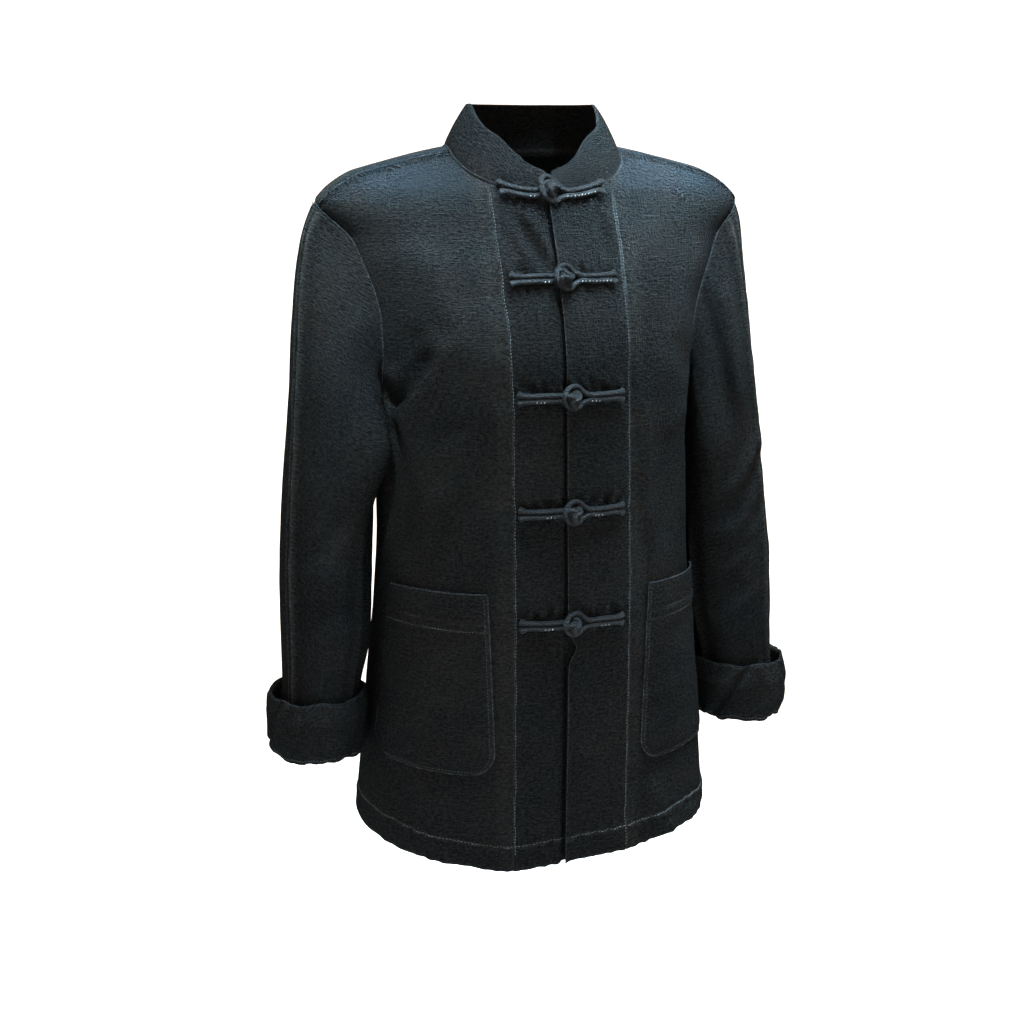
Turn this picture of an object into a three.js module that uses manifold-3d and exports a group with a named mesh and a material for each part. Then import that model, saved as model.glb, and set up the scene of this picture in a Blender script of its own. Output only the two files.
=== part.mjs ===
// A tang shirt: a washed linen jacket with a stand collar, five frog closures, two patch pockets
// and turned-up cuffs, in the hollow form it keeps when it is worn.
// Millimetres, +Z up, front towards -Y, the wearer's left towards +X. The origin is the middle of
// the neck at the height where collar and shoulder seams meet, which is where the wearer holds it up.
import * as THREE from 'three';
import { mergeVertices } from 'three/addons/utils/BufferGeometryUtils.js';
import Module from 'manifold-3d';

const wasm = await Module();
wasm.setup();

// ---- driving sizes ---------------------------------------------------------------------------
const SIDE_LINE_Y = 5;          // the side, armhole and shoulder seams lie on this line
const ROUNDNESS = 2.3;          // exponent of the level sections: 2 is an ellipse, more is squarer
const NECK_HALF_WIDTH = 82;
const FRONT_NECK_DROP = 41;
const BACK_NECK_DROP = 5;
const NECK_CURVE = 0.8;         // under 1 the neckline stays low and climbs late, at the sides
const SHOULDER_TIP_Z = -51;
const SHOULDER_HALF_WIDTH = 206;
const UNDERARM_Z = -235;
const ARMHOLE_FRONT = 45;       // how far the armhole reaches before and behind the side line
const ARMHOLE_BACK = 50;

const CLOTH = 1.6;              // wall of the linen with its turnings
const COLLAR_WALL = 2.4;
const CUFF_WALL = 1.5;
const HEM_EXTRA = 1.0;          // the turned hem is thicker than the cloth
const HEM_HEIGHT = 26;
const SEAM_GAP = 0.3;

const BAND_SEAM_X = 58;         // seam between a front and its band, at the neckline
const BAND_TAPER = 4;           // the right band is this much narrower from the chest down
const BAND_TAPER_TOP_Z = -60;
const BAND_TAPER_END_Z = -230;
const LAP_OVER = 4.5;           // the left band reaches this far past the middle
const LAP_UNDER = 13;           // the right band runs on under it to here
const LAP_CLEARANCE = 0.6;      // with this much air between the two
const LAP_SLOPE = 12;           // and steps down over this width

const COLLAR_HEIGHT = 45;
const COLLAR_LEAN = 17;         // degrees inwards at the seam
const COLLAR_CURL = 24;         // and this much more at its top edge
const COLLAR_RIM_Z = 39;        // its top edge is level here behind the shoulder seams
const COLLAR_MIDDLE_Y = -8;     // it leans towards a line through here
const COLLAR_END_HEIGHT = 12;
const COLLAR_CORNER = 12;       // radius of its front corners
const COLLAR_RISE = 62;         // it reaches its full height this far round from the middle

const POCKET_TOP_Z = -399;
const POCKET_HEIGHT = 176;
const POCKET_NEAR_X = 77;       // edge towards the middle, at the mouth
const POCKET_NEAR_SPREAD = 6;   // it runs this much nearer the middle at the bottom
const POCKET_FAR_X = 149;       // edge towards the side seam, at the mouth
const POCKET_FAR_SPREAD = 19;
const POCKET_FAR_DROP = 7;      // the mouth dips towards the side
const POCKET_CORNER = 24;       // size of the rounded lower corners
const POCKET_FAR_ROUNDING = 0.5;   // the far corner is rounded this much as far in
const POCKET_WALL = 1.8;
const POCKET_STANDOFF = 1.1;
const POCKET_MOUTH_STANDOFF = 2.2;
const POCKET_MOUTH_SHARE = 0.4; // the mouth stands off over this share of the pocket's height

const CORD = 4.6;               // diameter of the frog's cloth cord
const LEG_END_X = 50;           // its legs end this far from the middle
const TWIN_CORD_APART = 0.95;   // the cords' middles lie this share of a radius off the leg's middle
const TWIN_CORD_WRAP = 125;     // degrees of each cord's round that show on the leg's outline
const KNOT_RADIUS = 7.2;
const RING_RADIUS = 10.1;       // middle of the cord that rings the knot
const RING_TILT = 17;           // degrees, so that it clears the knot's own cords
const RING_LIFT = 5.6;
const FROG_STANDOFF = 0.5;
const LEG_UNDER_KNOT = 0.3;     // the button's leg runs this far in under the round of its knot
const CORD_SIDES = 6;
const RING_SIDES = 14;
const KNOT_SIDES = 10;
const KNOT_ROWS = 8;

// How the sleeve cap leaves the armhole and arrives in the arm, as shares of the way between.
const CAP_ARRIVE = 0.5;
const CAP_FALL = 50;            // degrees down from level at the shoulder, as the seam falls there
const CAP = {
  right: { leave: 0.14, lean: 0.04 },
  left: { leave: 0.1, lean: 0.08 },
};
const CUFF_SWING = 4;           // the turned rim hangs this much further out than the sleeve

// Level sections of the body: height, half width, depth before and behind the side line.
const BODY_SECTIONS = [
  { z: 0, width: 82, front: 16, back: 22 },
  { z: -5, width: 107, front: 25, back: 48 },
  { z: -13, width: 139, front: 38, back: 62 },
  { z: -22, width: 170, front: 51, back: 73 },
  { z: -31, width: 187, front: 62.5, back: 80 },
  { z: -41, width: 199, front: 74, back: 86 },
  { z: -51, width: 206, front: 80, back: 91 },
  { z: -82, width: 185, front: 96, back: 101 },
  { z: -104, width: 177, front: 108, back: 105 },
  { z: -133, width: 166, front: 120, back: 110 },
  { z: -155, width: 160, front: 129, back: 112 },
  { z: -190, width: 156, front: 138, back: 113 },
  { z: -235, width: 154, front: 142, back: 110 },
  { z: -300, width: 153, front: 145, back: 103 },
  { z: -357, width: 153, front: 148, back: 99 },
  { z: -430, width: 157, front: 150, back: 103 },
  { z: -520, width: 166, front: 149, back: 112 },
  { z: -600, width: 174, front: 147, back: 118 },
  { z: -672, width: 181, front: 145, back: 122 },
];

// Level sections of a sleeve: height, middle, half width, half depth.
const SLEEVE_SECTIONS = [
  { z: -262, x: 198, y: 9, width: 40, depth: 56 },
  { z: -300, x: 200.5, y: 6, width: 42, depth: 55 },
  { z: -350, x: 203.5, y: 2, width: 44, depth: 52 },
  { z: -400, x: 206.5, y: -3, width: 44.5, depth: 50 },
  { z: -460, x: 209, y: -8, width: 43, depth: 47 },
  { z: -510, x: 214.5, y: -11, width: 38.5, depth: 43 },
  { z: -574, x: 221, y: -12, width: 36.5, depth: 40.5 },
];
const SLEEVE_SPLAY = { right: 0, left: 3 };   // how much further out each cuff hangs

const CUFF_HEIGHT = 58.6;       // from the sleeve's lower edge to the top of the turned rim
// The turned-up cuff, from the sleeve's lower edge: how far out and how far up each bend lies.
const CUFF_PATH = [
  { out: 0, up: -0.3 },
  { out: 0.9, up: -2.2 },
  { out: 3.0, up: -2.4 },
  { out: 4.6, up: 1.5 },
  { out: 6.0, up: 56 },
  { out: 7.6, up: CUFF_HEIGHT },
  { out: 9.6, up: 57 },
  { out: 11.0, up: 30 },
  { out: 10.6, up: 3 },
];

// The largest soft folds: side of the body, ends, reach across, and rise (a trough is negative).
const FOLDS = [
  { face: 'front', x0: -150, z0: -232, x1: -112, z1: -168, reach: 11, rise: 4.5 },
  { face: 'front', x0: -152, z0: -205, x1: -128, z1: -160, reach: 9, rise: -5 },
  { face: 'front', x0: 76, z0: -215, x1: 80, z1: -372, reach: 9, rise: 3 },
  { face: 'front', x0: 140, z0: -212, x1: 112, z1: -172, reach: 12, rise: -3.5 },
  { face: 'front', x0: 84, z0: -600, x1: 112, z1: -668, reach: 12, rise: 4 },
  { face: 'front', x0: -118, z0: -600, x1: -132, z1: -668, reach: 14, rise: 3.5 },
  { face: 'back', x0: -70, z0: -190, x1: -48, z1: -420, reach: 15, rise: -4 },
  { face: 'back', x0: 62, z0: -210, x1: 50, z1: -450, reach: 16, rise: -4.5 },
  { face: 'back', x0: -128, z0: -150, x1: -118, z1: -262, reach: 12, rise: 4 },
  { face: 'back', x0: 130, z0: -150, x1: 117, z1: -270, reach: 12, rise: 3.5 },
  { face: 'back', x0: -88, z0: -540, x1: -96, z1: -668, reach: 16, rise: 4.5 },
  { face: 'back', x0: 30, z0: -560, x1: 38, z1: -668, reach: 18, rise: 4 },
  { face: 'back', x0: 118, z0: -550, x1: 128, z1: -668, reach: 15, rise: -4 },
];

// Frog closures, top to bottom: height of the legs, how much of the neckline's curve they follow,
// and how far across, up and out the knot sits from the middle of the legs.
const FROGS = [
  { z: -45, follow: 1, x: -3, rise: 2.5, lift: 1 },
  { z: -117, follow: 0, x: 0, rise: 0, lift: 0 },
  { z: -220, follow: 0, x: 0, rise: 0, lift: 0 },
  { z: -324, follow: 0, x: 0, rise: 0, lift: 0 },
  { z: -428, follow: 0, x: 0, rise: 0, lift: 0 },
];

// Height of the hem over a place across.
const HEM_LINE = [
  { x: -181, z: -660 },
  { x: -125, z: -666 },
  { x: -55, z: -674 },
  { x: 0, z: -668 },
  { x: 60, z: -665 },
  { x: 125, z: -660 },
  { x: 181, z: -660 },
];

// Rows and columns of the grids.
const UPPER_ROWS = 12;
const LOWER_ROWS = 12;
const NECK_COLUMNS = 2;
const SHOULDER_COLUMNS = 6;
const BACK_NECK_COLUMNS = 5;
const CAP_ROWS = 6;
const COLLAR_ROWS = 3;
const LEG_STEPS = 4;
const POCKET_COLUMNS = 8;
const POCKET_ROWS = 8;

// ---- smooth curves through the tables ----------------------------------------------------------

/** A smooth curve through rows of numbers that never overshoots a row. */
function curveThrough(rows, from, to) {
  const sorted = [...rows].sort((a, b) => a[from] - b[from]);
  const s = sorted.map((row) => row[from]);
  const v = sorted.map((row) => row[to]);
  const step = s.slice(1).map((value, i) => (v[i + 1] - v[i]) / (value - s[i]));
  const slope = s.map((value, i) => {
    if (i === 0) return step[0];
    if (i === s.length - 1) return step[i - 1];
    if (step[i - 1] * step[i] <= 0) return 0;
    return (2 * step[i - 1] * step[i]) / (step[i - 1] + step[i]);
  });
  return (at) => {
    const x = Math.min(Math.max(at, s[0]), s[s.length - 1]);
    let i = 0;
    while (i < s.length - 2 && x > s[i + 1]) i += 1;
    const h = s[i + 1] - s[i];
    const t = (x - s[i]) / h;
    const rise = t * t * (3 - 2 * t);
    return v[i] * (1 - rise) + v[i + 1] * rise
      + h * t * (1 - t) * ((1 - t) * slope[i] - t * slope[i + 1]);
  };
}

const smooth = (t) => {
  const s = Math.min(Math.max(t, 0), 1);
  return s * s * (3 - 2 * s);
};
const mix = (a, b, t) => a + (b - a) * t;
const radians = (degrees) => (degrees * Math.PI) / 180;

const bodyWidth = curveThrough(BODY_SECTIONS, 'z', 'width');
const bodyDepth = {
  front: curveThrough(BODY_SECTIONS, 'z', 'front'),
  back: curveThrough(BODY_SECTIONS, 'z', 'back'),
};
const FACE_SIGN = { front: -1, back: 1 };
const FOLD_END = 0.15;          // a fold fades out past each end by this share of its length
const FOLD_FADE = 0.4;
const SIDE_FADE = 0.15;         // folds die away towards the side line over this share

// ---- the form of the body ------------------------------------------------------------------------

/** Rise of the folds at a place on the front or the back. */
function foldRise(x, z, face) {
  let rise = 0;
  for (const fold of FOLDS) {
    if (fold.face === face) {
      const along = new THREE.Vector2(fold.x1 - fold.x0, fold.z1 - fold.z0);
      const offset = new THREE.Vector2(x - fold.x0, z - fold.z0);
      const t = offset.dot(along) / along.lengthSq();
      const across = offset.cross(along) / along.length();
      const ends = smooth((t + FOLD_END) / FOLD_FADE) * smooth((1 + FOLD_END - t) / FOLD_FADE);
      rise += fold.rise * ends * Math.exp(-((across / fold.reach) ** 2));
    }
  }
  return rise;
}

/** Direction that the cloth faces, from the slope of the body's sections. */
function bodyNormal(x, y, z, face) {
  const d = 0.5;                // half the step of the slopes
  const n = ROUNDNESS;
  const across = Math.abs(x);
  const through = Math.abs(y - SIDE_LINE_Y);
  const width = bodyWidth(z);
  const depth = bodyDepth[face](z);
  const widthSlope = (bodyWidth(z + d) - bodyWidth(z - d)) / (2 * d);
  const depthSlope = (bodyDepth[face](z + d) - bodyDepth[face](z - d)) / (2 * d);
  const share = (across / width) ** n;
  const rest = (through / depth) ** n;
  return new THREE.Vector3(
    (Math.sign(x) * across ** (n - 1)) / width ** n,
    (FACE_SIGN[face] * through ** (n - 1)) / depth ** n,
    -(share * widthSlope) / width - (rest * depthSlope) / depth,
  ).normalize();
}

/** A point of the cloth's outer face, out from the surface by lift. */
function bodyPoint(x, z, face, lift = 0) {
  const share = Math.min(Math.abs(x) / bodyWidth(z), 1) ** ROUNDNESS;
  const depth = bodyDepth[face](z) * (1 - share) ** (1 / ROUNDNESS);
  const point = new THREE.Vector3(x, SIDE_LINE_Y + FACE_SIGN[face] * depth, z);
  const normal = bodyNormal(x, point.y, z, face);
  const fold = foldRise(x, z, face) * smooth((1 - share) / SIDE_FADE);
  return { point: point.addScaledVector(normal, fold + lift), normal };
}

/** Height of the neckline over a place across. */
function neckHeight(x, drop) {
  const turn = Math.asin(Math.min(Math.abs(x) / NECK_HALF_WIDTH, 1));
  return -drop * Math.cos(turn) ** NECK_CURVE;
}

/** Height of the shoulder seam over a place across, found by halving. */
function shoulderHeight(x) {
  let low = SHOULDER_TIP_Z;
  let high = 0;
  const halvings = 40;
  for (let i = 0; i < halvings; i += 1) {
    const middle = (low + high) / 2;
    if (bodyWidth(middle) > x) low = middle;
    else high = middle;
  }
  return high;
}

/** How far out the armhole seam lies at a height. */
function armholeX(z, face) {
  const v = (SHOULDER_TIP_Z - z) / (SHOULDER_TIP_Z - UNDERARM_Z);
  if (v <= 0) return SHOULDER_HALF_WIDTH;
  if (v >= 1) return bodyWidth(z);
  const reach = (face === 'front' ? ARMHOLE_FRONT : ARMHOLE_BACK) * Math.sqrt(4 * v * (1 - v));
  return bodyWidth(z) * (1 - (reach / bodyDepth[face](z)) ** ROUNDNESS) ** (1 / ROUNDNESS);
}

// ---- walls -------------------------------------------------------------------------------------

/** A closed wall between two grids of points; a ring closes its columns on themselves. */
function wall(outer, inner, ring) {
  const rows = outer.length;
  const columns = outer[0].length;
  const positions = [];
  for (const grid of [outer, inner]) {
    for (const row of grid) {
      for (const p of row) positions.push(p.x, p.y, p.z);
    }
  }
  const index = [];
  const at = (side, i, j) => side * rows * columns + i * columns + (j % columns);
  const quad = (a, b, c, d) => index.push(a, b, c, a, c, d);
  const spans = ring ? columns : columns - 1;
  for (let i = 0; i < rows - 1; i += 1) {
    for (let j = 0; j < spans; j += 1) {
      quad(at(0, i, j), at(0, i + 1, j), at(0, i + 1, j + 1), at(0, i, j + 1));
      quad(at(1, i, j), at(1, i, j + 1), at(1, i + 1, j + 1), at(1, i + 1, j));
    }
  }
  for (let j = 0; j < spans; j += 1) {
    quad(at(0, 0, j), at(0, 0, j + 1), at(1, 0, j + 1), at(1, 0, j));
    const last = rows - 1;
    quad(at(0, last, j), at(1, last, j), at(1, last, j + 1), at(0, last, j + 1));
  }
  if (!ring) {
    const last = columns - 1;
    for (let i = 0; i < rows - 1; i += 1) {
      quad(at(0, i, 0), at(1, i, 0), at(1, i + 1, 0), at(0, i + 1, 0));
      quad(at(0, i, last), at(0, i + 1, last), at(1, i + 1, last), at(1, i, last));
    }
  }
  const geometry = new THREE.BufferGeometry();
  geometry.setAttribute('position', new THREE.Float32BufferAttribute(positions, 3));
  geometry.setIndex(index);
  return facingOut(geometry);
}

/** Turns every face over if the closed mesh has its faces pointing in. */
function facingOut(geometry) {
  const p = geometry.attributes.position;
  const index = geometry.index.array;
  const [a, b, c] = [new THREE.Vector3(), new THREE.Vector3(), new THREE.Vector3()];
  let volume = 0;
  for (let i = 0; i < index.length; i += 3) {
    a.fromBufferAttribute(p, index[i]);
    b.fromBufferAttribute(p, index[i + 1]);
    c.fromBufferAttribute(p, index[i + 2]);
    volume += a.dot(b.cross(c));
  }
  if (volume < 0) {
    for (let i = 0; i < index.length; i += 3) {
      [index[i + 1], index[i + 2]] = [index[i + 2], index[i + 1]];
    }
  }
  geometry.computeVertexNormals();
  return geometry;
}

const hemHeight = curveThrough(HEM_LINE, 'x', 'z');

/** Wall thickness at a place: the hem is turned up inside. */
function clothThickness(x, z) {
  const blend = 8;
  return CLOTH + HEM_EXTRA * smooth((hemHeight(x) + HEM_HEIGHT + blend / 2 - z) / blend);
}

/** Where a front meets its band, measured from the middle. */
function bandSeam(side, z) {
  if (side > 0) return BAND_SEAM_X;
  return BAND_SEAM_X - BAND_TAPER * smooth((BAND_TAPER_TOP_Z - z) / (BAND_TAPER_TOP_Z - BAND_TAPER_END_Z));
}

// ---- front, bands and back -----------------------------------------------------------------------

/** Heights of a column: dense at its top edge and at the underarm, then even down to the hem. */
function columnHeights(topZ, hemZ) {
  const heights = [];
  for (let k = 0; k <= UPPER_ROWS; k += 1) {
    const v = (1 - Math.cos((Math.PI * k) / UPPER_ROWS)) / 2;
    heights.push({ v, z: mix(topZ, UNDERARM_Z, v) });
  }
  for (let k = 1; k <= LOWER_ROWS; k += 1) {
    heights.push({ v: 1, z: mix(UNDERARM_Z, hemZ, k / LOWER_ROWS) });
  }
  return heights;
}

/** Places along a panel's top edge: across the neckline, then along the shoulder seam. */
function topEdge(startX, neckColumns, drop) {
  const places = [];
  for (let j = 0; j <= neckColumns; j += 1) {
    const turn = mix(Math.asin(startX / NECK_HALF_WIDTH), Math.PI / 2, j / neckColumns);
    const x = NECK_HALF_WIDTH * Math.sin(turn);
    places.push({ x, z: neckHeight(x, drop) });
  }
  for (let j = 1; j <= SHOULDER_COLUMNS; j += 1) {
    const x = mix(NECK_HALF_WIDTH, SHOULDER_HALF_WIDTH, j / SHOULDER_COLUMNS);
    places.push({ x, z: shoulderHeight(x) });
  }
  return places;
}

/** One half of a panel: columns from startX, or the band seam, to the armhole and the side seam. */
function halfPanel(face, side, startX, neckColumns, drop) {
  const top = topEdge(startX, neckColumns, drop);
  const last = top.length - 1;
  return top.map((place, j) => {
    const high = (place.x - startX) / (SHOULDER_HALF_WIDTH - startX);
    const low = Math.sin((Math.PI / 2) * (j / last)) ** (2 / ROUNDNESS);
    const hemZ = hemHeight(side * mix(startX, HEM_LINE[HEM_LINE.length - 1].x, low));
    return columnHeights(place.z, hemZ).map(({ v, z }, i) => {
      const inside = startX > 0 ? bandSeam(side, z) : 0;
      const x = mix(inside, armholeX(z, face), mix(high, low, v));
      const { point, normal } = bodyPoint(side * x, z, face);
      const thickness = clothThickness(side * x, z);
      let inward = normal.clone().multiplyScalar(-thickness);
      const shift = new THREE.Vector3();
      if (j === last && i <= UPPER_ROWS) {
        inward = armholeInward(point, thickness);
        shift.x = -side * (SEAM_GAP / 2);
      }
      if (j === last && i > 0) shift.y += FACE_SIGN[face] * (SEAM_GAP / 2) * v;
      if (i === 0 && j >= neckColumns) shift.y += FACE_SIGN[face] * (SEAM_GAP / 2);
      if (j === 0 && startX > 0) shift.x += side * (SEAM_GAP / 2);
      return { outer: point.clone().add(shift), inner: point.clone().add(inward).add(shift) };
    });
  });
}

/** The armhole seam's edge faces its own middle, so that body and sleeve meet edge to edge. */
function armholeInward(point, thickness) {
  const middleZ = (SHOULDER_TIP_Z + UNDERARM_Z) / 2;
  return new THREE.Vector3(0, SIDE_LINE_Y - point.y, middleZ - point.z).setLength(thickness);
}

/** Columns of outer and inner points, made a wall. */
function wallOfColumns(columns) {
  const rows = columns[0].map((unused, i) => i);
  const outer = rows.map((i) => columns.map((column) => column[i].outer));
  const inner = rows.map((i) => columns.map((column) => column[i].inner));
  return wall(outer, inner, false);
}

const frontPanel = (side) => wallOfColumns(
  halfPanel('front', side, BAND_SEAM_X, NECK_COLUMNS, FRONT_NECK_DROP),
);

function backPanel() {
  const right = halfPanel('back', -1, 0, BACK_NECK_COLUMNS, BACK_NECK_DROP);
  const left = halfPanel('back', 1, 0, BACK_NECK_COLUMNS, BACK_NECK_DROP);
  return wallOfColumns([...right.slice(1).reverse(), ...left]);
}

/** Places across a band, from its seam towards the middle. */
const BAND_PLACES = [BAND_SEAM_X, (BAND_SEAM_X + LAP_OVER + LAP_SLOPE) / 2, LAP_OVER + LAP_SLOPE];

/** A front band through places across, from its seam; sunk tells which places lie under the lap. */
function band(side, places, sunk) {
  return wallOfColumns(places.map((place, j) => {
    const hemZ = hemHeight(side * place);
    return columnHeights(neckHeight(place, FRONT_NECK_DROP), hemZ).map(({ z }) => {
      const narrower = BAND_SEAM_X - bandSeam(side, z);
      const x = side * (place - narrower * Math.max(place / BAND_SEAM_X, 0));
      const thickness = clothThickness(x, z);
      const sink = j >= sunk ? thickness + LAP_CLEARANCE : 0;
      const { point, normal } = bodyPoint(x, z, 'front', -sink);
      const inner = point.clone().addScaledVector(normal, -thickness);
      const shift = j === 0 ? -side * (SEAM_GAP / 2) : 0;
      point.x += shift;
      inner.x += shift;
      return { outer: point, inner };
    });
  }));
}

const bandLeft = () => band(1, [...BAND_PLACES, 0, -LAP_OVER], Infinity);
const bandRight = () => band(-1, [...BAND_PLACES, LAP_OVER + 1, -LAP_UNDER], BAND_PLACES.length);

// ---- sleeves and cuffs ---------------------------------------------------------------------------

const sleeveCurve = {
  x: curveThrough(SLEEVE_SECTIONS, 'z', 'x'),
  y: curveThrough(SLEEVE_SECTIONS, 'z', 'y'),
  width: curveThrough(SLEEVE_SECTIONS, 'z', 'width'),
  depth: curveThrough(SLEEVE_SECTIONS, 'z', 'depth'),
};
const SLEEVE_TOP_Z = SLEEVE_SECTIONS[0].z;
const SLEEVE_END_Z = SLEEVE_SECTIONS[SLEEVE_SECTIONS.length - 1].z;

/** A point of a sleeve's outer face, out from it by lift. turn 0 faces away from the body. */
function sleevePoint(side, z, turn, lift = 0) {
  const name = side > 0 ? 'left' : 'right';
  const hang = SLEEVE_SPLAY[name] * smooth((SLEEVE_TOP_Z - z) / (SLEEVE_TOP_Z - SLEEVE_END_Z));
  const width = sleeveCurve.width(z) + lift;
  const depth = sleeveCurve.depth(z) + lift;
  return new THREE.Vector3(
    side * (sleeveCurve.x(z) + hang + width * Math.cos(turn)),
    sleeveCurve.y(z) - depth * Math.sin(turn),
    z,
  );
}

/** The armhole seam as a ring: down its front edge, then up its back edge. */
function armholeRing(side) {
  const heights = columnHeights(SHOULDER_TIP_Z, UNDERARM_Z).slice(0, UPPER_ROWS + 1);
  const edge = (face) => heights.map(({ z }) => bodyPoint(side * armholeX(z, face), z, face).point);
  const front = edge('front');
  const back = edge('back');
  return [...front, ...back.slice(1, -1).reverse()];
}

/** A sleeve's cloth: the cap grows out of the armhole ring, then level sections run to the cuff. */
function sleeveRows(side) {
  const ring = armholeRing(side);
  const turns = ring.map((unused, j) => (2 * Math.PI * j) / ring.length);
  const cap = CAP[side > 0 ? 'left' : 'right'];
  const rows = [ring];
  for (let i = 1; i <= CAP_ROWS; i += 1) {
    const t = i / CAP_ROWS;
    rows.push(ring.map((start, j) => {
      const end = sleevePoint(side, SLEEVE_TOP_Z, turns[j]);
      const span = start.distanceTo(end);
      const fall = radians(CAP_FALL) * Math.max(Math.cos(turns[j]), 0);
      const away = new THREE.Vector3(side * Math.cos(fall), 0, -Math.sin(fall));
      const leave = start.clone().addScaledVector(away, span * cap.leave);
      const arrive = end.clone().add(new THREE.Vector3(-side * span * cap.lean, 0, span * CAP_ARRIVE));
      return new THREE.CubicBezierCurve3(start, leave, arrive, end).getPoint(t);
    }));
  }
  for (const section of SLEEVE_SECTIONS.slice(1)) {
    rows.push(turns.map((turn) => sleevePoint(side, section.z, turn)));
  }
  return rows;
}

/** Outward directions over a ring-shaped grid, from its neighbours. */
function ringNormals(rows, side) {
  return rows.map((row, i) => row.map((unused, j) => {
    const above = rows[Math.max(i - 1, 0)][j];
    const below = rows[Math.min(i + 1, rows.length - 1)][j];
    const before = row[(j + row.length - 1) % row.length];
    const after = row[(j + 1) % row.length];
    const down = below.clone().sub(above);
    const round = after.clone().sub(before);
    return down.cross(round).multiplyScalar(-side).normalize();
  }));
}

function sleeve(side) {
  const rows = sleeveRows(side);
  const normals = ringNormals(rows, side);
  const shift = new THREE.Vector3(side * (SEAM_GAP / 2), 0, 0);
  const outer = rows.map((row, i) => row.map((p) => (i === 0 ? p.clone().add(shift) : p)));
  const inner = rows.map((row, i) => row.map((p, j) => {
    if (i === 0) return p.clone().add(armholeInward(p, CLOTH)).add(shift);
    return p.clone().addScaledVector(normals[i][j], -CLOTH);
  }));
  return wall(outer, inner, true);
}

/** The sleeve's end turned up outside to a soft top fold and down again. */
function cuff(side) {
  const count = 2 * UPPER_ROWS;
  const start = -CLOTH / 2;
  const grid = (offset) => CUFF_PATH.map((bend, i) => {
    const before = CUFF_PATH[Math.max(i - 1, 0)];
    const after = CUFF_PATH[Math.min(i + 1, CUFF_PATH.length - 1)];
    const along = new THREE.Vector2(after.out - before.out, after.up - before.up).normalize();
    if (i === 0) along.set(0, -1);
    const out = start + bend.out - along.y * offset;
    const up = bend.up + along.x * offset;
    return Array.from({ length: count }, (unused, j) => {
      const turn = (2 * Math.PI * j) / count;
      const point = sleevePoint(side, SLEEVE_END_Z + Math.max(up, 0), turn, out);
      const swing = (CUFF_SWING * Math.max(up, 0)) / CUFF_HEIGHT;
      return point.set(point.x + side * swing, point.y, SLEEVE_END_Z + up);
    });
  });
  return wall(grid(CUFF_WALL / 2), grid(-CUFF_WALL / 2), true);
}

// ---- collar --------------------------------------------------------------------------------------

/** The neckline from the middle front round to the middle back, at the panels' own columns. */
function neckline(side) {
  const bandPart = [0, ...[...BAND_PLACES].reverse()];
  const frontPart = topEdge(BAND_SEAM_X, NECK_COLUMNS, FRONT_NECK_DROP).slice(1, NECK_COLUMNS + 1);
  const backPart = topEdge(0, BACK_NECK_COLUMNS, BACK_NECK_DROP).slice(0, BACK_NECK_COLUMNS).reverse();
  const front = [...bandPart, ...frontPart.map((place) => place.x)].map(
    (x) => bodyPoint(side * x, neckHeight(x, FRONT_NECK_DROP), 'front').point,
  );
  const back = backPart.map(({ x, z }) => bodyPoint(side * x, z, 'back').point);
  return [...front, ...back];
}

/** The stand collar: a band round the neckline, leaning in, with rounded front ends. */
function collar() {
  const right = neckline(-1);
  const left = neckline(1).slice(0, -1).reverse();
  const base = [...right, ...left];
  const middle = new THREE.Vector3(0, COLLAR_MIDDLE_Y, 0);
  const meanLean = radians(COLLAR_LEAN + COLLAR_CURL / 2);
  const lengths = [0];
  for (let j = 1; j < base.length; j += 1) {
    lengths.push(lengths[j - 1] + base[j].distanceTo(base[j - 1]));
  }
  const total = lengths[lengths.length - 1];
  const outer = [];
  const inner = [];
  for (let i = 0; i <= COLLAR_ROWS; i += 1) {
    const ring = base.map((start, j) => {
      const fromEnd = Math.min(lengths[j], total - lengths[j]);
      const corner = Math.sqrt(1 - (1 - Math.min(fromEnd / COLLAR_CORNER, 1)) ** 2);
      const rise = smooth((fromEnd - COLLAR_CORNER / 2) / COLLAR_RISE);
      const low = COLLAR_END_HEIGHT * (1 + corner);
      const share = i / COLLAR_ROWS;
      const levelled = (COLLAR_RIM_Z - start.z) / Math.cos(meanLean);
      const full = start.y > SIDE_LINE_Y ? levelled : COLLAR_HEIGHT;
      const height = SEAM_GAP + mix(low, full, rise) * share;
      const out = start.clone().sub(middle).setZ(0).normalize();
      const lean = radians(COLLAR_LEAN + (COLLAR_CURL * share) / 2);
      const up = new THREE.Vector3(0, 0, Math.cos(lean)).addScaledVector(out, -Math.sin(lean));
      const tilt = i === 0 ? 0 : radians(COLLAR_LEAN + COLLAR_CURL * share);
      const across = out.clone().multiplyScalar(Math.cos(tilt)).setZ(Math.sin(tilt));
      const point = start.clone().addScaledVector(up, height);
      return { outer: point, inner: point.clone().addScaledVector(across, -COLLAR_WALL) };
    });
    for (const end of [ring[0], ring[ring.length - 1]]) {
      const shift = (end === ring[0] ? -1 : 1) * (SEAM_GAP / 2);
      end.outer.x += shift;
      end.inner.x = end.outer.x;
    }
    outer.push(ring.map((p) => p.outer));
    inner.push(ring.map((p) => p.inner));
  }
  return wall(outer, inner, false);
}

// ---- pockets -------------------------------------------------------------------------------------

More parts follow.
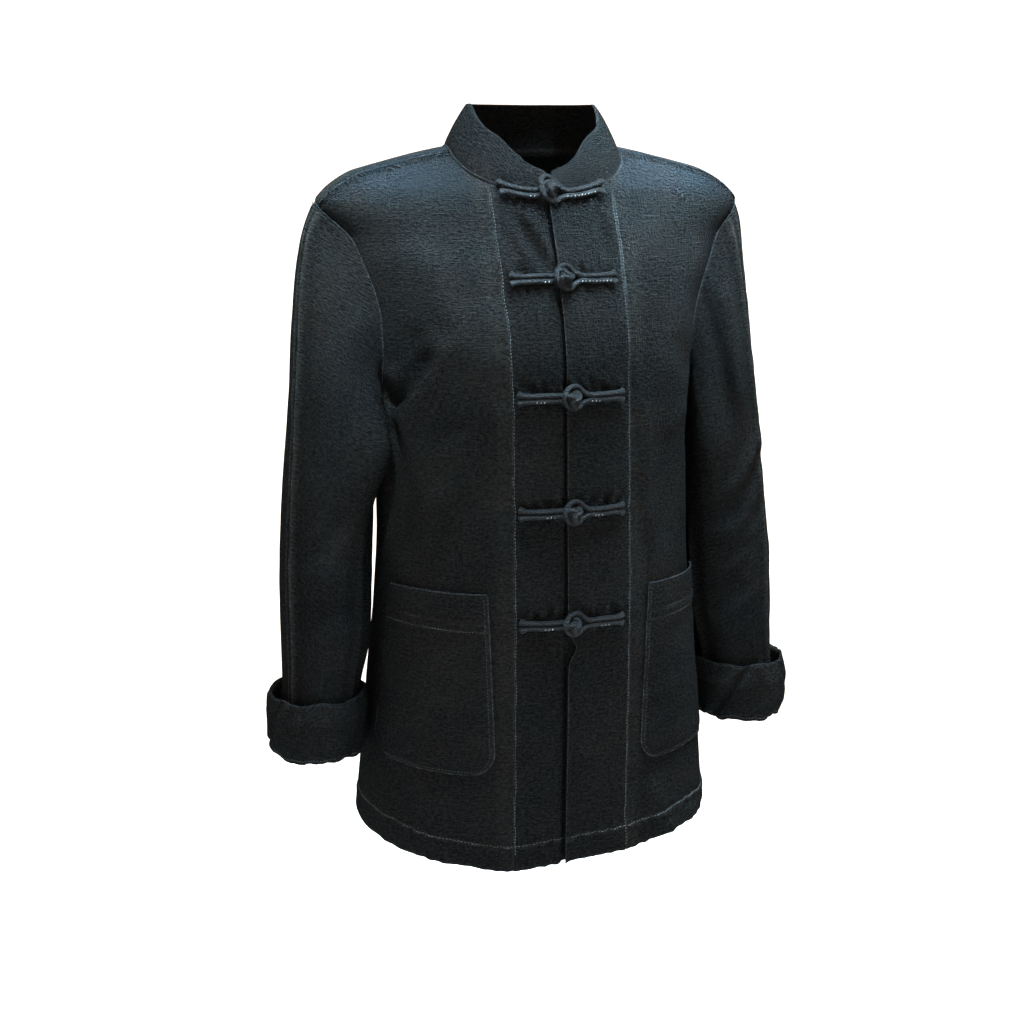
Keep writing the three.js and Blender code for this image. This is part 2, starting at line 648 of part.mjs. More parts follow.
/** A patch pocket: the panel's own surface moved out, with rounded lower corners. */
function pocket(side) {
  const columns = [];
  for (let j = 0; j <= POCKET_COLUMNS; j += 1) {
    const across = j / POCKET_COLUMNS;
    const column = [];
    for (let i = 0; i <= POCKET_ROWS; i += 1) {
      const down = Math.sin((Math.PI / 2) * (i / POCKET_ROWS));
      const dip = POCKET_FAR_DROP * across ** 2 * (1 - down);
      const z = POCKET_TOP_Z - dip - POCKET_HEIGHT * down;
      const above = POCKET_HEIGHT * (1 - down);
      const cut = Math.max(1 - above / POCKET_CORNER, 0);
      const inset = POCKET_CORNER * (1 - Math.sqrt(1 - cut * cut));
      const near = POCKET_NEAR_X - POCKET_NEAR_SPREAD * down + inset;
      const far = POCKET_FAR_X + POCKET_FAR_SPREAD * down - inset * POCKET_FAR_ROUNDING;
      const x = side * mix(near, far, Math.sin((Math.PI / 2) * across));
      const mouth = Math.sin(Math.PI * across) * Math.max(1 - down / POCKET_MOUTH_SHARE, 0);
      const lift = POCKET_STANDOFF + (POCKET_MOUTH_STANDOFF - POCKET_STANDOFF) * mouth;
      const { point, normal } = bodyPoint(x, z, 'front', lift + POCKET_WALL);
      column.push({ outer: point, inner: point.clone().addScaledVector(normal, -POCKET_WALL) });
    }
    columns.push(column);
  }
  return wallOfColumns(columns);
}

// ---- frog closures -------------------------------------------------------------------------------

/** The outline of two cords lying side by side, grown a little into each other. */
function twinCordShape() {
  const shape = new THREE.Shape();
  const radius = CORD / 2;
  const spans = CORD_SIDES - 1;
  for (const way of [1, -1]) {
    for (let k = 0; k <= spans; k += 1) {
      const angle = radians(mix(-TWIN_CORD_WRAP, TWIN_CORD_WRAP, k / spans));
      const corner = new THREE.Vector2(TWIN_CORD_APART + Math.cos(angle), Math.sin(angle));
      corner.multiplyScalar(way * radius);
      if (way === 1 && k === 0) shape.moveTo(corner.x, corner.y);
      else shape.lineTo(corner.x, corner.y);
    }
  }
  shape.closePath();
  return shape;
}

/** Height of a frog's cords over a place across. */
function frogHeight(frog, x) {
  const neckRise = neckHeight(x, FRONT_NECK_DROP) - neckHeight(0, FRONT_NECK_DROP);
  return frog.z + frog.follow * neckRise;
}

/** A leg: twin cords, made straight and then laid over the cloth from the knot to their outer end. */
function leg(frog, side, start) {
  const shape = twinCordShape();
  const straight = new THREE.ExtrudeGeometry(shape, { depth: 1, steps: LEG_STEPS, bevelEnabled: false });
  const place = straight.attributes.position;
  const lift = FROG_STANDOFF + CORD / 2 + frog.lift;
  for (let i = 0; i < place.count; i += 1) {
    const x = mix(frog.x + side * start, side * LEG_END_X, place.getZ(i));
    const { point, normal } = bodyPoint(x, frogHeight(frog, x), 'front', lift);
    const beyond = x + side;
    const next = bodyPoint(beyond, frogHeight(frog, beyond), 'front', lift).point;
    const across = next.sub(point).cross(normal).normalize();
    point.addScaledVector(across, place.getX(i)).addScaledVector(normal, place.getY(i));
    place.setXYZ(i, point.x, point.y, point.z);
  }
  return welded(straight);
}

/** Only positions, with equal points joined. */
function welded(geometry) {
  geometry.deleteAttribute('normal');
  geometry.deleteAttribute('uv');
  const samePoint = 1e-3;
  return facingOut(mergeVertices(geometry, samePoint));
}

function toManifold(geometry) {
  return new wasm.Manifold(new wasm.Mesh({
    numProp: 3,
    vertProperties: geometry.attributes.position.array,
    triVerts: new Uint32Array(geometry.index.array),
  }));
}

function fromManifold(solid) {
  const mesh = solid.getMesh();
  const geometry = new THREE.BufferGeometry();
  geometry.setAttribute('position', new THREE.BufferAttribute(mesh.vertProperties, 3));
  geometry.setIndex(new THREE.BufferAttribute(mesh.triVerts, 1));
  geometry.computeVertexNormals();
  return geometry;
}

/** The knot: a ball of cord standing on the lap. */
function knot(frog) {
  const lift = FROG_STANDOFF + KNOT_RADIUS + frog.lift;
  const middle = bodyPoint(frog.x, frog.z + frog.rise, 'front', lift).point;
  const ball = new THREE.SphereGeometry(KNOT_RADIUS, KNOT_SIDES, KNOT_ROWS);
  ball.translate(middle.x, middle.y, middle.z);
  return welded(ball);
}

/** The loop: a leg whose cord rings the knot, tilted over the knot's own cords. */
function loop(frog) {
  const { point, normal } = bodyPoint(frog.x, frog.z + frog.rise, 'front', RING_LIFT + frog.lift);
  const axis = normal.clone().add(new THREE.Vector3(Math.tan(radians(RING_TILT)), 0, 0)).normalize();
  const ring = welded(new THREE.TorusGeometry(RING_RADIUS, CORD / 2, CORD_SIDES, RING_SIDES));
  ring.applyQuaternion(new THREE.Quaternion().setFromUnitVectors(new THREE.Vector3(0, 0, 1), axis));
  ring.translate(point.x, point.y, point.z);
  return fromManifold(toManifold(ring).add(toManifold(leg(frog, 1, RING_RADIUS))));
}

// ---- the shirt -----------------------------------------------------------------------------------

const linen = () => new THREE.MeshStandardMaterial({ color: 0x23292e, roughness: 0.92, metalness: 0 });
const cord = () => new THREE.MeshStandardMaterial({ color: 0x1c2226, roughness: 0.85, metalness: 0 });

const shirt = new THREE.Group();
function add(name, geometry, material) {
  const mesh = new THREE.Mesh(geometry, material);
  mesh.name = name;
  shirt.add(mesh);
}

add('back', backPanel(), linen());
add('front_right', frontPanel(-1), linen());
add('front_left', frontPanel(1), linen());
add('band_right', bandRight(), linen());
add('band_left', bandLeft(), linen());
add('collar', collar(), linen());
add('sleeve_right', sleeve(-1), linen());
add('sleeve_left', sleeve(1), linen());
add('cuff_right', cuff(-1), linen());
add('cuff_left', cuff(1), linen());
add('pocket_right', pocket(-1), linen());
add('pocket_left', pocket(1), linen());
FROGS.forEach((frog, i) => {
  add(`button_leg_${i + 1}`, leg(frog, -1, KNOT_RADIUS - LEG_UNDER_KNOT), cord());
  add(`knot_${i + 1}`, knot(frog), cord());
  add(`loop_${i + 1}`, loop(frog), cord());
});

export default shirt;
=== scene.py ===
# %% [markdown]
# # A tang shirt in washed linen
# The solid parts arrive as a frame: one plain wall for each panel, sleeve, cuff, pocket and
# closure. This lesson dresses each of them as cloth. Every panel is a surface worked out from two
# numbers, so its folds, puckers and seams are sums of simple bumps that can be read and moved.

# %% Load the frame
import math
import bpy
import numpy as np
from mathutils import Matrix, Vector


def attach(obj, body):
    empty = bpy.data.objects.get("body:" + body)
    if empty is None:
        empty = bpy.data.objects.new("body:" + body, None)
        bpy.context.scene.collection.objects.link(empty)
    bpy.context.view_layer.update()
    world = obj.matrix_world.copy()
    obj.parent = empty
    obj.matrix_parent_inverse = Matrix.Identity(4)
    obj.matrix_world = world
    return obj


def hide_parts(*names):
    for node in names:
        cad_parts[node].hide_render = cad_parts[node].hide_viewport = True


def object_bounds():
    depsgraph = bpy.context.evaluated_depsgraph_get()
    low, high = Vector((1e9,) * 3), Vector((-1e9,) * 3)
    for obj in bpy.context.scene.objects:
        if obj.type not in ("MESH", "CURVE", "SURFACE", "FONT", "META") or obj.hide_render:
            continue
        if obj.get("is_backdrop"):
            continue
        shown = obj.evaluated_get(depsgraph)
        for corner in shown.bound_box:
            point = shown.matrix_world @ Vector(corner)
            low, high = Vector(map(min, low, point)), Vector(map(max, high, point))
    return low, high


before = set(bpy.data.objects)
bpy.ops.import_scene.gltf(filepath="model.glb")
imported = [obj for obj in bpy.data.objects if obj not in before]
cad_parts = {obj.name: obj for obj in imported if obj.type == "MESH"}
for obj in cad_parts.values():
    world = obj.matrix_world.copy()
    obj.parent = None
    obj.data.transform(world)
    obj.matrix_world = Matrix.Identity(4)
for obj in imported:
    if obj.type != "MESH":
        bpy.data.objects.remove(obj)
cad_low, cad_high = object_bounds()
MM = 0.001
print("frame nodes:", len(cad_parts))

# %% [markdown]
# ## The camera
# The camera comes first, so that every later step can be judged in the same view. It stands a
# little to the wearer's right and looks slightly down, from about a metre and a half.

# %% Camera
VIEW_AZIMUTH, VIEW_PITCH, VIEW_DISTANCE, VIEW_HEIGHT = -15.8, 13.2, 1.500, -0.004
VIEW_TURN = 0.70          # degrees that the camera looks past the middle, for the framing
LENS_MM, FAR_CLIP = 54.3, 50
camera_data = bpy.data.cameras.new("camera")
camera_data.lens, camera_data.clip_end = LENS_MM, FAR_CLIP
camera = bpy.data.objects.new("camera", camera_data)
bpy.context.scene.collection.objects.link(camera)
azimuth = math.radians(VIEW_AZIMUTH)
camera.location = (VIEW_DISTANCE * math.sin(azimuth), -VIEW_DISTANCE * math.cos(azimuth), VIEW_HEIGHT)
camera.rotation_euler = (math.radians(90 - VIEW_PITCH), 0, azimuth + math.radians(VIEW_TURN))
bpy.context.scene.camera = camera
print("camera at", [round(v, 3) for v in camera.location])

# %% [markdown]
# ## The form of the body
# A worn shirt is a soft tube. Each level slice of it is a squared ellipse, and a few measured
# slices joined by smooth curves give the whole form. The same slices shaped the frame's solids,
# so the cloth made here lies on them.

# %% Smooth curves and the body's slices
def curve_through(places, values):
    """A curve through the points that never overshoots: cubic pieces whose slope at a point is the
    harmonic mean of the slopes beside it, and nought where they differ in sign."""
    order = np.argsort(places)
    s, v = np.asarray(places, float)[order], np.asarray(values, float)[order]
    step = np.diff(v) / np.diff(s)
    same = step[:-1] * step[1:] > 0
    total = np.where(same, step[:-1] + step[1:], 1)
    inner = np.where(same, 2 * step[:-1] * step[1:] / total, 0)
    slope = np.concatenate([step[:1], inner, step[-1:]])

    def at(x):
        x = np.clip(x, s[0], s[-1])
        i = np.clip(np.searchsorted(s, x) - 1, 0, len(s) - 2)
        h = s[i + 1] - s[i]
        t = (x - s[i]) / h
        rise = t * t * (3 - 2 * t)
        return (v[i] * (1 - rise) + v[i + 1] * rise
                + h * t * (1 - t) * ((1 - t) * slope[i] - t * slope[i + 1]))
    return at


def smooth(t):
    """Nought below 0, one above 1, and an even S between: 3t^2 - 2t^3."""
    t = np.clip(t, 0, 1)
    return t * t * (3 - 2 * t)


def mix(a, b, t):
    """From a to b by a share t: a + (b - a) * t."""
    return a + (b - a) * t


def bell(distance, reach):
    """A soft bump: one in the middle, nearly nought at twice its reach."""
    return np.exp(-(distance / reach) ** 2)


# height, half width, depth before and behind the side line, in millimetres
BODY = np.array([
    (0, 82, 16, 22), (-5, 107, 25, 48), (-13, 139, 38, 62), (-22, 170, 51, 73),
    (-31, 187, 62.5, 80), (-41, 199, 74, 86), (-51, 206, 80, 91), (-82, 185, 96, 101),
    (-104, 177, 108, 105), (-133, 166, 120, 110), (-155, 160, 129, 112), (-190, 156, 138, 113),
    (-235, 154, 142, 110), (-300, 153, 145, 103), (-357, 153, 148, 99), (-430, 157, 150, 103),
    (-520, 166, 149, 112), (-600, 174, 147, 118), (-672, 181, 145, 122)])
SIDE_Y, ROUND = 5, 2.3                       # where the side line runs, and the ellipse's power
NECK_X, FRONT_DROP, BACK_DROP, NECK_CURVE = 82, 41, 5, 0.8
TIP_X, TIP_Z, UNDERARM_Z = 206, -51, -235    # the shoulder's tip and the armpit
ARMHOLE = {"front": 45, "back": 50}          # widest reach of the armhole from the side line
FACE_SIGN = {"front": -1, "back": 1}
SIDES = (("right", -1), ("left", 1))         # the wearer's own sides, and the sign of x there
HEM_X = 181
body_width = curve_through(BODY[:, 0], BODY[:, 1])
body_depth = {"front": curve_through(BODY[:, 0], BODY[:, 2]),
              "back": curve_through(BODY[:, 0], BODY[:, 3])}
hem_height = curve_through([-HEM_X, -125, -55, 0, 60, 125, HEM_X],
                           [-660, -666, -674, -668, -665, -660, -660])
print("body slices:", len(BODY))

# %% Large folds
# face, then one end (x, z), the other end (x, z), reach across, and rise (a trough is negative)
LARGE_FOLDS = [
    ("front", -150, -232, -112, -168, 11, 4.5), ("front", -152, -205, -128, -160, 9, -5),
    ("front", 76, -215, 80, -372, 9, 3), ("front", 140, -212, 112, -172, 12, -3.5),
    ("front", 84, -600, 112, -668, 12, 4), ("front", -118, -600, -132, -668, 14, 3.5),
    ("back", -70, -190, -48, -420, 15, -4), ("back", 62, -210, 50, -450, 16, -4.5),
    ("back", -128, -150, -118, -262, 12, 4), ("back", 130, -150, 117, -270, 12, 3.5),
    ("back", -88, -540, -96, -668, 16, 4.5), ("back", 30, -560, 38, -668, 18, 4),
    ("back", 118, -550, 128, -668, 15, -4)]
FOLD_END, FOLD_FADE, SIDE_FADE = 0.15, 0.4, 0.15


def folds(table, x, z, face):
    """Sum of soft ridges: each is a bell across its line, faded past its two ends."""
    rise = np.zeros(np.broadcast(x, z).shape)
    for where, x0, z0, x1, z1, reach, height in table:
        if where == face:
            length2 = (x1 - x0) ** 2 + (z1 - z0) ** 2
            t = ((x - x0) * (x1 - x0) + (z - z0) * (z1 - z0)) / length2
            across = ((x - x0) * (z1 - z0) - (z - z0) * (x1 - x0)) / math.sqrt(length2)
            ends = smooth((t + FOLD_END) / FOLD_FADE) * smooth((1 + FOLD_END - t) / FOLD_FADE)
            rise = rise + height * ends * bell(across, reach)
    return rise


def body_point(x, z, face, lift=0.0):
    """A point of the cloth and the way it faces. Depth = full depth times (1 - share)^(1/n), where
    share is |x / half width|^n; the facing is the slope of that rule; folds and lift go along it."""
    x, z = np.broadcast_arrays(np.asarray(x, float), np.asarray(z, float))
    sign, n, d = FACE_SIGN[face], ROUND, 0.5
    width, depth = body_width(z), body_depth[face](z)
    share = np.minimum(np.abs(x) / width, 1) ** n
    through = depth * (1 - share) ** (1 / n)
    width_slope = (body_width(z + d) - body_width(z - d)) / (2 * d)
    depth_slope = (body_depth[face](z + d) - body_depth[face](z - d)) / (2 * d)
    normal = np.stack([np.sign(x) * np.abs(x) ** (n - 1) / width ** n,
                       sign * through ** (n - 1) / depth ** n,
                       -share * width_slope / width - (1 - share) * depth_slope / depth], -1)
    normal /= np.linalg.norm(normal, axis=-1, keepdims=True)
    out = folds(LARGE_FOLDS, x, z, face) * smooth((1 - share) / SIDE_FADE) + lift
    point = np.stack([x, SIDE_Y + sign * through, z], -1) + normal * out[..., None]
    return point, normal


def neck_height(x, drop):
    """The neckline: its drop times cos(turn)^0.8, where sin(turn) is x over its half width."""
    turn = np.arcsin(np.minimum(np.abs(x) / NECK_X, 1))
    return -drop * np.cos(turn) ** NECK_CURVE


CURVE_POINTS = 400
seam_z = np.linspace(TIP_Z, 0, CURVE_POINTS)
seam_x = body_width(seam_z)


def shoulder_height(x):
    """Height of the shoulder seam: the level whose slice is just x wide."""
    return np.interp(-x, -seam_x, seam_z)


def armhole_x(z, face):
    """How far out the armhole seam runs: its reach from the side line is a half ellipse in height."""
    v = np.clip((TIP_Z - z) / (TIP_Z - UNDERARM_Z), 0, 1)
    reach = ARMHOLE[face] * np.sqrt(4 * v * (1 - v))
    inner = body_width(z) * (1 - (reach / body_depth[face](z)) ** ROUND) ** (1 / ROUND)
    return np.where(v <= 0, TIP_X, inner)


print("waist half width:", float(body_width(-357.0)))

# %% [markdown]
# ## The small relief of worn linen
# Real cloth is never even: long soft waves from hanging, short puckers where a seam or a closure
# pulls it in, and a step where it lies double. Each is a function of the place on the body, so
# that the cloth, the stitches and the cords all agree about where its surface is.

# %% Waves and puckers
RIPPLE_COUNT = 7


def ripple(a, b, seed):
    """An uneven wave between about -1 and 1: a few sines of turned directions, lengths and phases."""
    draw = np.random.RandomState(seed)
    angle = draw.uniform(0, math.pi, RIPPLE_COUNT)
    pace = 2 * math.pi * draw.uniform(0.6, 1.6, RIPPLE_COUNT)
    phase = draw.uniform(0, 2 * math.pi, RIPPLE_COUNT)
    total = 0
    for k in range(RIPPLE_COUNT):
        total = total + np.sin(pace[k] * (a * math.cos(angle[k]) + b * math.sin(angle[k])) + phase[k])
    return total / (0.55 * RIPPLE_COUNT)


print("a wave's value at the neck:", round(float(ripple(0.0, 0.0, 3)), 3))

# %% Where the seams and closures run
BAND_X, BAND_TAPER, TAPER_FROM, TAPER_OVER = 58, 4, -60, 170
LAP_OVER, LAP_UNDER, LAP_SLOPE, LAP_CLEARANCE = 4.5, 13, 5, 1.8
CLOTH, SEWN_GAP = 1.6, 0.3
HEM_TURN = 26
FROG_Z = np.array([-45, -117, -220, -324, -428])
LEG_END = 50


def band_seam(side, z):
    """Distance of a band's seam from the middle: the right one narrows below the chest."""
    narrower = BAND_TAPER * smooth((TAPER_FROM - z) / TAPER_OVER)
    wander = 0.7 * ripple(z / 60, side, 14) + 0.35 * ripple(z / 14, side, 15)
    return BAND_X - (narrower if side < 0 else 0) + wander


def frog_height(k, x):
    """Height of a closure's cords over a place across: the top one follows the neckline."""
    rise = neck_height(x, FRONT_DROP) + FRONT_DROP if k == 0 else 0
    return FROG_Z[k] + rise


print("closures at heights:", FROG_Z.tolist())

# %% Small folds, in the same columns as the large ones
SMALL_FOLDS = [
    ("front", -36, -62, -16, -108, 5, -4.4), ("front", -27, -58, -6, -102, 5, 3.0),
    ("front", -47, -64, -28, -106, 4, 2.6), ("front", 41, -56, 45, -98, 4, -3.4),
    ("front", 31, -60, 36, -90, 5, 2.4), ("front", 50, -58, 54, -100, 4, 2.2),
    ("front", 62, -205, 66, -360, 6, -3.0), ("front", 74, -235, 72, -350, 5, 2.4),
    ("front", -80, -235, -92, -330, 14, -1.6), ("front", 108, -250, 96, -360, 14, -1.8),
    ("front", -140, -240, -100, -166, 9, 4.0), ("front", -152, -240, -120, -178, 8, -15.0),
    ("front", -72, -60, -60, -150, 13, -3.4), ("front", -124, -84, -84, -190, 15, 2.8),
    ("front", 84, -70, 72, -150, 14, 2.4), ("front", 122, -84, 96, -180, 14, -2.6),
    ("front", -134, -268, -96, -240, 9, -3.0), ("front", -152, -262, -140, -380, 14, -8.0),
    ("front", -112, -300, -146, -392, 10, 4.5), ("front", -92, -310, -128, -396, 12, -3.0),
    ("front", 134, -240, 100, -262, 10, 1.6), ("front", -112, -60, -86, -150, 18, -1.6),
    ("front", 100, -66, 84, -140, 18, 1.4), ("front", -70, -590, -64, -660, 8, 2.0),
    ("front", 66, -588, 76, -640, 7, -2.0), ("front", 92, -640, 104, -668, 8, -1.6),
    ("front", 148, -560, 156, -660, 11, 2.6), ("front", -150, -570, -160, -660, 12, -2.4),
    ("back", -34, -40, 30, -46, 9, -2.6), ("back", -60, -64, 52, -76, 12, 1.8),
    ("back", -96, -120, -116, -214, 10, -5.0), ("back", -84, -128, -104, -236, 8, 3.4),
    ("back", 98, -116, 116, -216, 10, -4.6), ("back", 86, -120, 104, -240, 8, 3.2),
    ("back", -26, -230, -20, -410, 11, 3.6), ("back", -44, -250, -34, -430, 9, -3.4),
    ("back", 14, -260, 10, -470, 11, -4.0), ("back", 32, -240, 24, -440, 10, 3.0),
    ("back", 92, -290, 84, -500, 11, 4.2), ("back", 106, -300, 100, -470, 9, -3.6),
    ("back", -104, -300, -96, -500, 11, 3.8), ("back", -120, -280, -112, -450, 9, -3.4),
    ("back", -140, -342, -76, -374, 8, -4.2), ("back", 140, -330, 80, -366, 8, -4.2),
    ("back", -146, -318, -92, -344, 7, 3.0), ("back", 144, -306, 96, -336, 7, 2.8),
    ("back", -56, -338, 36, -352, 9, -2.8), ("back", 30, -398, 112, -380, 8, -2.8),
    ("back", -118, -112, -44, -94, 10, -3.4), ("back", 44, -94, 122, -114, 10, -3.2),
    ("back", -104, -150, -40, -168, 10, 2.4), ("back", 36, -160, 108, -140, 10, 2.4),
    ("back", -60, -540, -66, -668, 11, -4.4), ("back", -30, -550, -34, -668, 12, 3.6),
    ("back", 74, -560, 82, -668, 11, 4.4), ("back", 4, -580, 0, -664, 10, -3.0),
    ("back", -140, -540, -150, -668, 10, 4.0), ("back", 136, -560, 146, -664, 10, 3.4)]
print("small folds:", len(SMALL_FOLDS))

# %% Relief of the cloth
SHOULDER_DIP = 7             # the shoulder's ridge and groove lie this far below its seam
SIDE_BULK_X = 150            # where the back's side turnings thicken the hem
ARMPIT_Z = -262


def hem_relief(x, z, face):
    """The double cloth of the hem: a step and a groove at its stitching, short puckers below them,
    a wavy lower edge, and lumps where the seams' turnings lie inside it."""
    turned = hem_height(x) + HEM_TURN - z
    rise = 0.7 * smooth((turned + 1) / 2) - 0.6 * bell(turned + 1, 1.4)
    rise = rise + 0.9 * ripple(x / 10, z / 14, 7) * bell(turned - 4, 9)
    rise = rise + 1.2 * ripple(x / 13, z / 60, 8) * smooth((turned + 14) / 14)
    rise = rise + 1.6 * ripple(x / 44, z / 90, 9) * smooth((turned + 4) / 24)
    bulk = bell(np.abs(x) - (BAND_X + 2 if face == "front" else SIDE_BULK_X), 6)
    return rise + 1.5 * bulk * smooth((turned + 3) / 4)


def shoulder_relief(x, z):
    """A ridge and a groove along the front of the shoulder seam, fading towards the neck."""
    across = np.abs(x)
    below = shoulder_height(np.clip(across, NECK_X, TIP_X)) - z - SHOULDER_DIP
    ridge = 0.9 * bell(below + 3, 2.0) - 3.2 * bell(below, 1.3)
    return ridge * smooth((across - NECK_X + 2) / 6)


def band_relief(x, z):
    """Puckers that a band's seam pulls into the cloth, stronger outside it, and its fine groove."""
    rise = 0
    for side in (-1, 1):
        off = side * x - band_seam(side, z)
        pull = bell(off - 2, 8) * (0.4 + 0.3 * np.sign(off)) * (0.6 + 0.5 * ripple(x / 90, z / 70, 12 + side))
        rise = rise + pull * ripple(x / 26 + z / 60, z / 9, 10 + side) - 0.25 * bell(off - 1.5, 1.6)
    return rise


def frog_relief(x, z):
    """Puckers above and below each closure, and the hollow that its cords press into the cloth."""
    rise = 0
    within = smooth((LEG_END + 6 - np.abs(x)) / 8)
    for k in range(len(FROG_Z)):
        off = z - frog_height(k, np.clip(x, -LEG_END, LEG_END))
        puckers = bell(np.abs(off) - 6, 8) * (2.6 * ripple(x / 11, off / 30 + k, 20 + k) - 0.4)
        rise = rise + (puckers - 0.9 * bell(off, 5.5)) * within
    return rise


def relief(x, z, face):
    """How far the cloth's surface stands out from the plain body: hanging waves, small folds, the
    hem, and in front the seams, the closures and the cloth drawn in at the armpits. It fades to
    nought at the side seam, where the front and the back meet."""
    back = face == "back"
    rise = 0.8 * ripple(x / 150, z / 260, 3 + back) + 0.35 * ripple(x / 34, z / 60, 5 + back)
    rise = rise + folds(SMALL_FOLDS, x, z, face) + hem_relief(x, z, face)
    if not back:
        rise = rise + shoulder_relief(x, z) + band_relief(x, z) + frog_relief(x, z)
        rise = rise - 12 * bell(x + 156, 10) * bell(z - ARMPIT_Z, 34)
        rise = rise - 4 * bell(x - 150, 12) * bell(z - ARMPIT_Z, 30)
    edge = np.abs(x) / body_width(z)
    return rise * smooth((1 - edge) / 0.02)


def cloth(x, z, face, lift=0.0):
    """A point of the worn cloth's outer face, small relief and all, and the way it faces."""
    return body_point(x, z, face, relief(x, z, face) + lift)


_, forward = cloth(0.0, -357.0, "front")
print("middle front faces:", np.round(forward, 2).tolist())

# %% [markdown]
# ## From a grid of points to a shell of cloth
# Blender's Solidify could thicken a sheet, but its rim stays square. Here the inner face is the
# outer one moved in along its own facing, and near a free edge the outer face rolls over in a
# quarter round, as folded cloth does. The lengths along the grid become the UV map in metres, so
# the weave keeps its true size and follows each panel's grain.

# %% Directions and distances on a grid
SHARP_ANGLE = math.radians(50)
EDGE_ROLL = 0.75             # how much of its thickness a free edge rolls over


def run_along(line):
    """Distance travelled along a line of points, from nought."""
    return np.concatenate([[0], np.cumsum(np.linalg.norm(np.diff(line, axis=0), axis=1))])


def unit(vectors):
    """The same directions with length one."""
    return vectors / np.maximum(np.linalg.norm(vectors, axis=-1, keepdims=True), 1e-9)


def facing(grid, ring):
    """Unit normals of a grid of points: the cross product of its two directions of travel."""
    down = np.gradient(grid, axis=0)
    if ring:
        across = (np.roll(grid, -1, 1) - np.roll(grid, 1, 1)) / 2
    else:
        across = np.gradient(grid, axis=1)
    return unit(np.cross(down, across))


def lengths(grid, axis):
    """Distance travelled along one direction of the grid, from its first line."""
    step = np.linalg.norm(np.diff(grid, axis=axis), axis=-1)
    total = np.cumsum(step, axis=axis)
    return np.concatenate([np.zeros_like(np.take(total, [0], axis)), total], axis=axis)


def placed(name, mesh):
    """Puts a finished mesh into the scene as an object of its own name."""
    piece = bpy.data.objects.new(name, mesh)
    bpy.context.scene.collection.objects.link(piece)
    return piece


def cloth_piece(name, points, faces, uv, wear_and_highlight):
    """An object of points in millimetres, with a UV pair for each face corner and, for each point, an
    attribute of how pale its linen is, partly worn cloth and partly painted highlight; it is shaded
    smooth except where it turns by more than SHARP_ANGLE."""
    mesh = bpy.data.meshes.new(name)
    mesh.from_pydata((points * MM).tolist(), [], faces.tolist())
    mesh.uv_layers.new(name="UVMap").data.foreach_set("uv", (uv * MM).astype(np.float32).ravel())
    # How pale each point is painted: partly worn cloth, partly painted highlight on seams, edges and creases.
    worn_and_highlit = mesh.attributes.new("worn_and_highlit", "FLOAT", "POINT")
    worn_and_highlit.data.foreach_set("value", np.asarray(wear_and_highlight, np.float32).ravel())
    mesh.validate()
    mesh.shade_smooth()
    mesh.set_sharp_from_angle(angle=SHARP_ANGLE)
    return placed(name, mesh)


print("a step's length:", run_along(np.array([[0, 0, 0], [3, 4, 0]]))[-1])

# %% Shell maker
def wall_faces(rows, columns, ring, u, v):
    """Faces and corner UVs of a closed wall: its outer points are numbered first, then its inner
    ones, and its open edges are joined by a strip each. A ring's last column joins its first."""
    count, last, end = rows * columns, (rows - 1) * columns, columns - 1
    spans = columns if ring else columns - 1
    i, j = np.meshgrid(np.arange(rows - 1), np.arange(spans), indexing="ij")
    i, j = i.ravel(), j.ravel()
    k = (j + 1) % columns
    corner = [(i, j, j), (i + 1, j, j), (i + 1, k, j + 1), (i, k, j + 1)]
    front = np.stack([a * columns + b for a, b, _ in corner], 1)
    back = np.stack([count + a * columns + b for a, b, _ in corner[::-1]], 1)
    front_uv = np.stack([np.stack([u[a, c], v[a, c]], -1) for a, _, c in corner], 1)
    c, r = np.arange(spans), np.arange(rows - 1)
    d = (c + 1) % columns
    strips = [(c, d, (0, c), (0, c + 1)), (last + d, last + c, (-1, c + 1), (-1, c))]
    if not ring:
        strips += [((r + 1) * columns, r * columns, (r + 1, 0), (r, 0)),
                   (r * columns + end, (r + 1) * columns + end, (r, -1), (r + 1, -1))]
    faces, uvs = [front, back], [front_uv, front_uv[:, ::-1]]
    for a, b, place_a, place_b in strips:
        uv_a, uv_b = [np.stack([u[place], v[place]], -1) for place in (place_a, place_b)]
        faces.append(np.stack([b, a, a + count, b + count], 1))
        uvs.append(np.stack([uv_b, uv_a, uv_a, uv_b], 1))
    return np.concatenate(faces), np.concatenate(uvs)


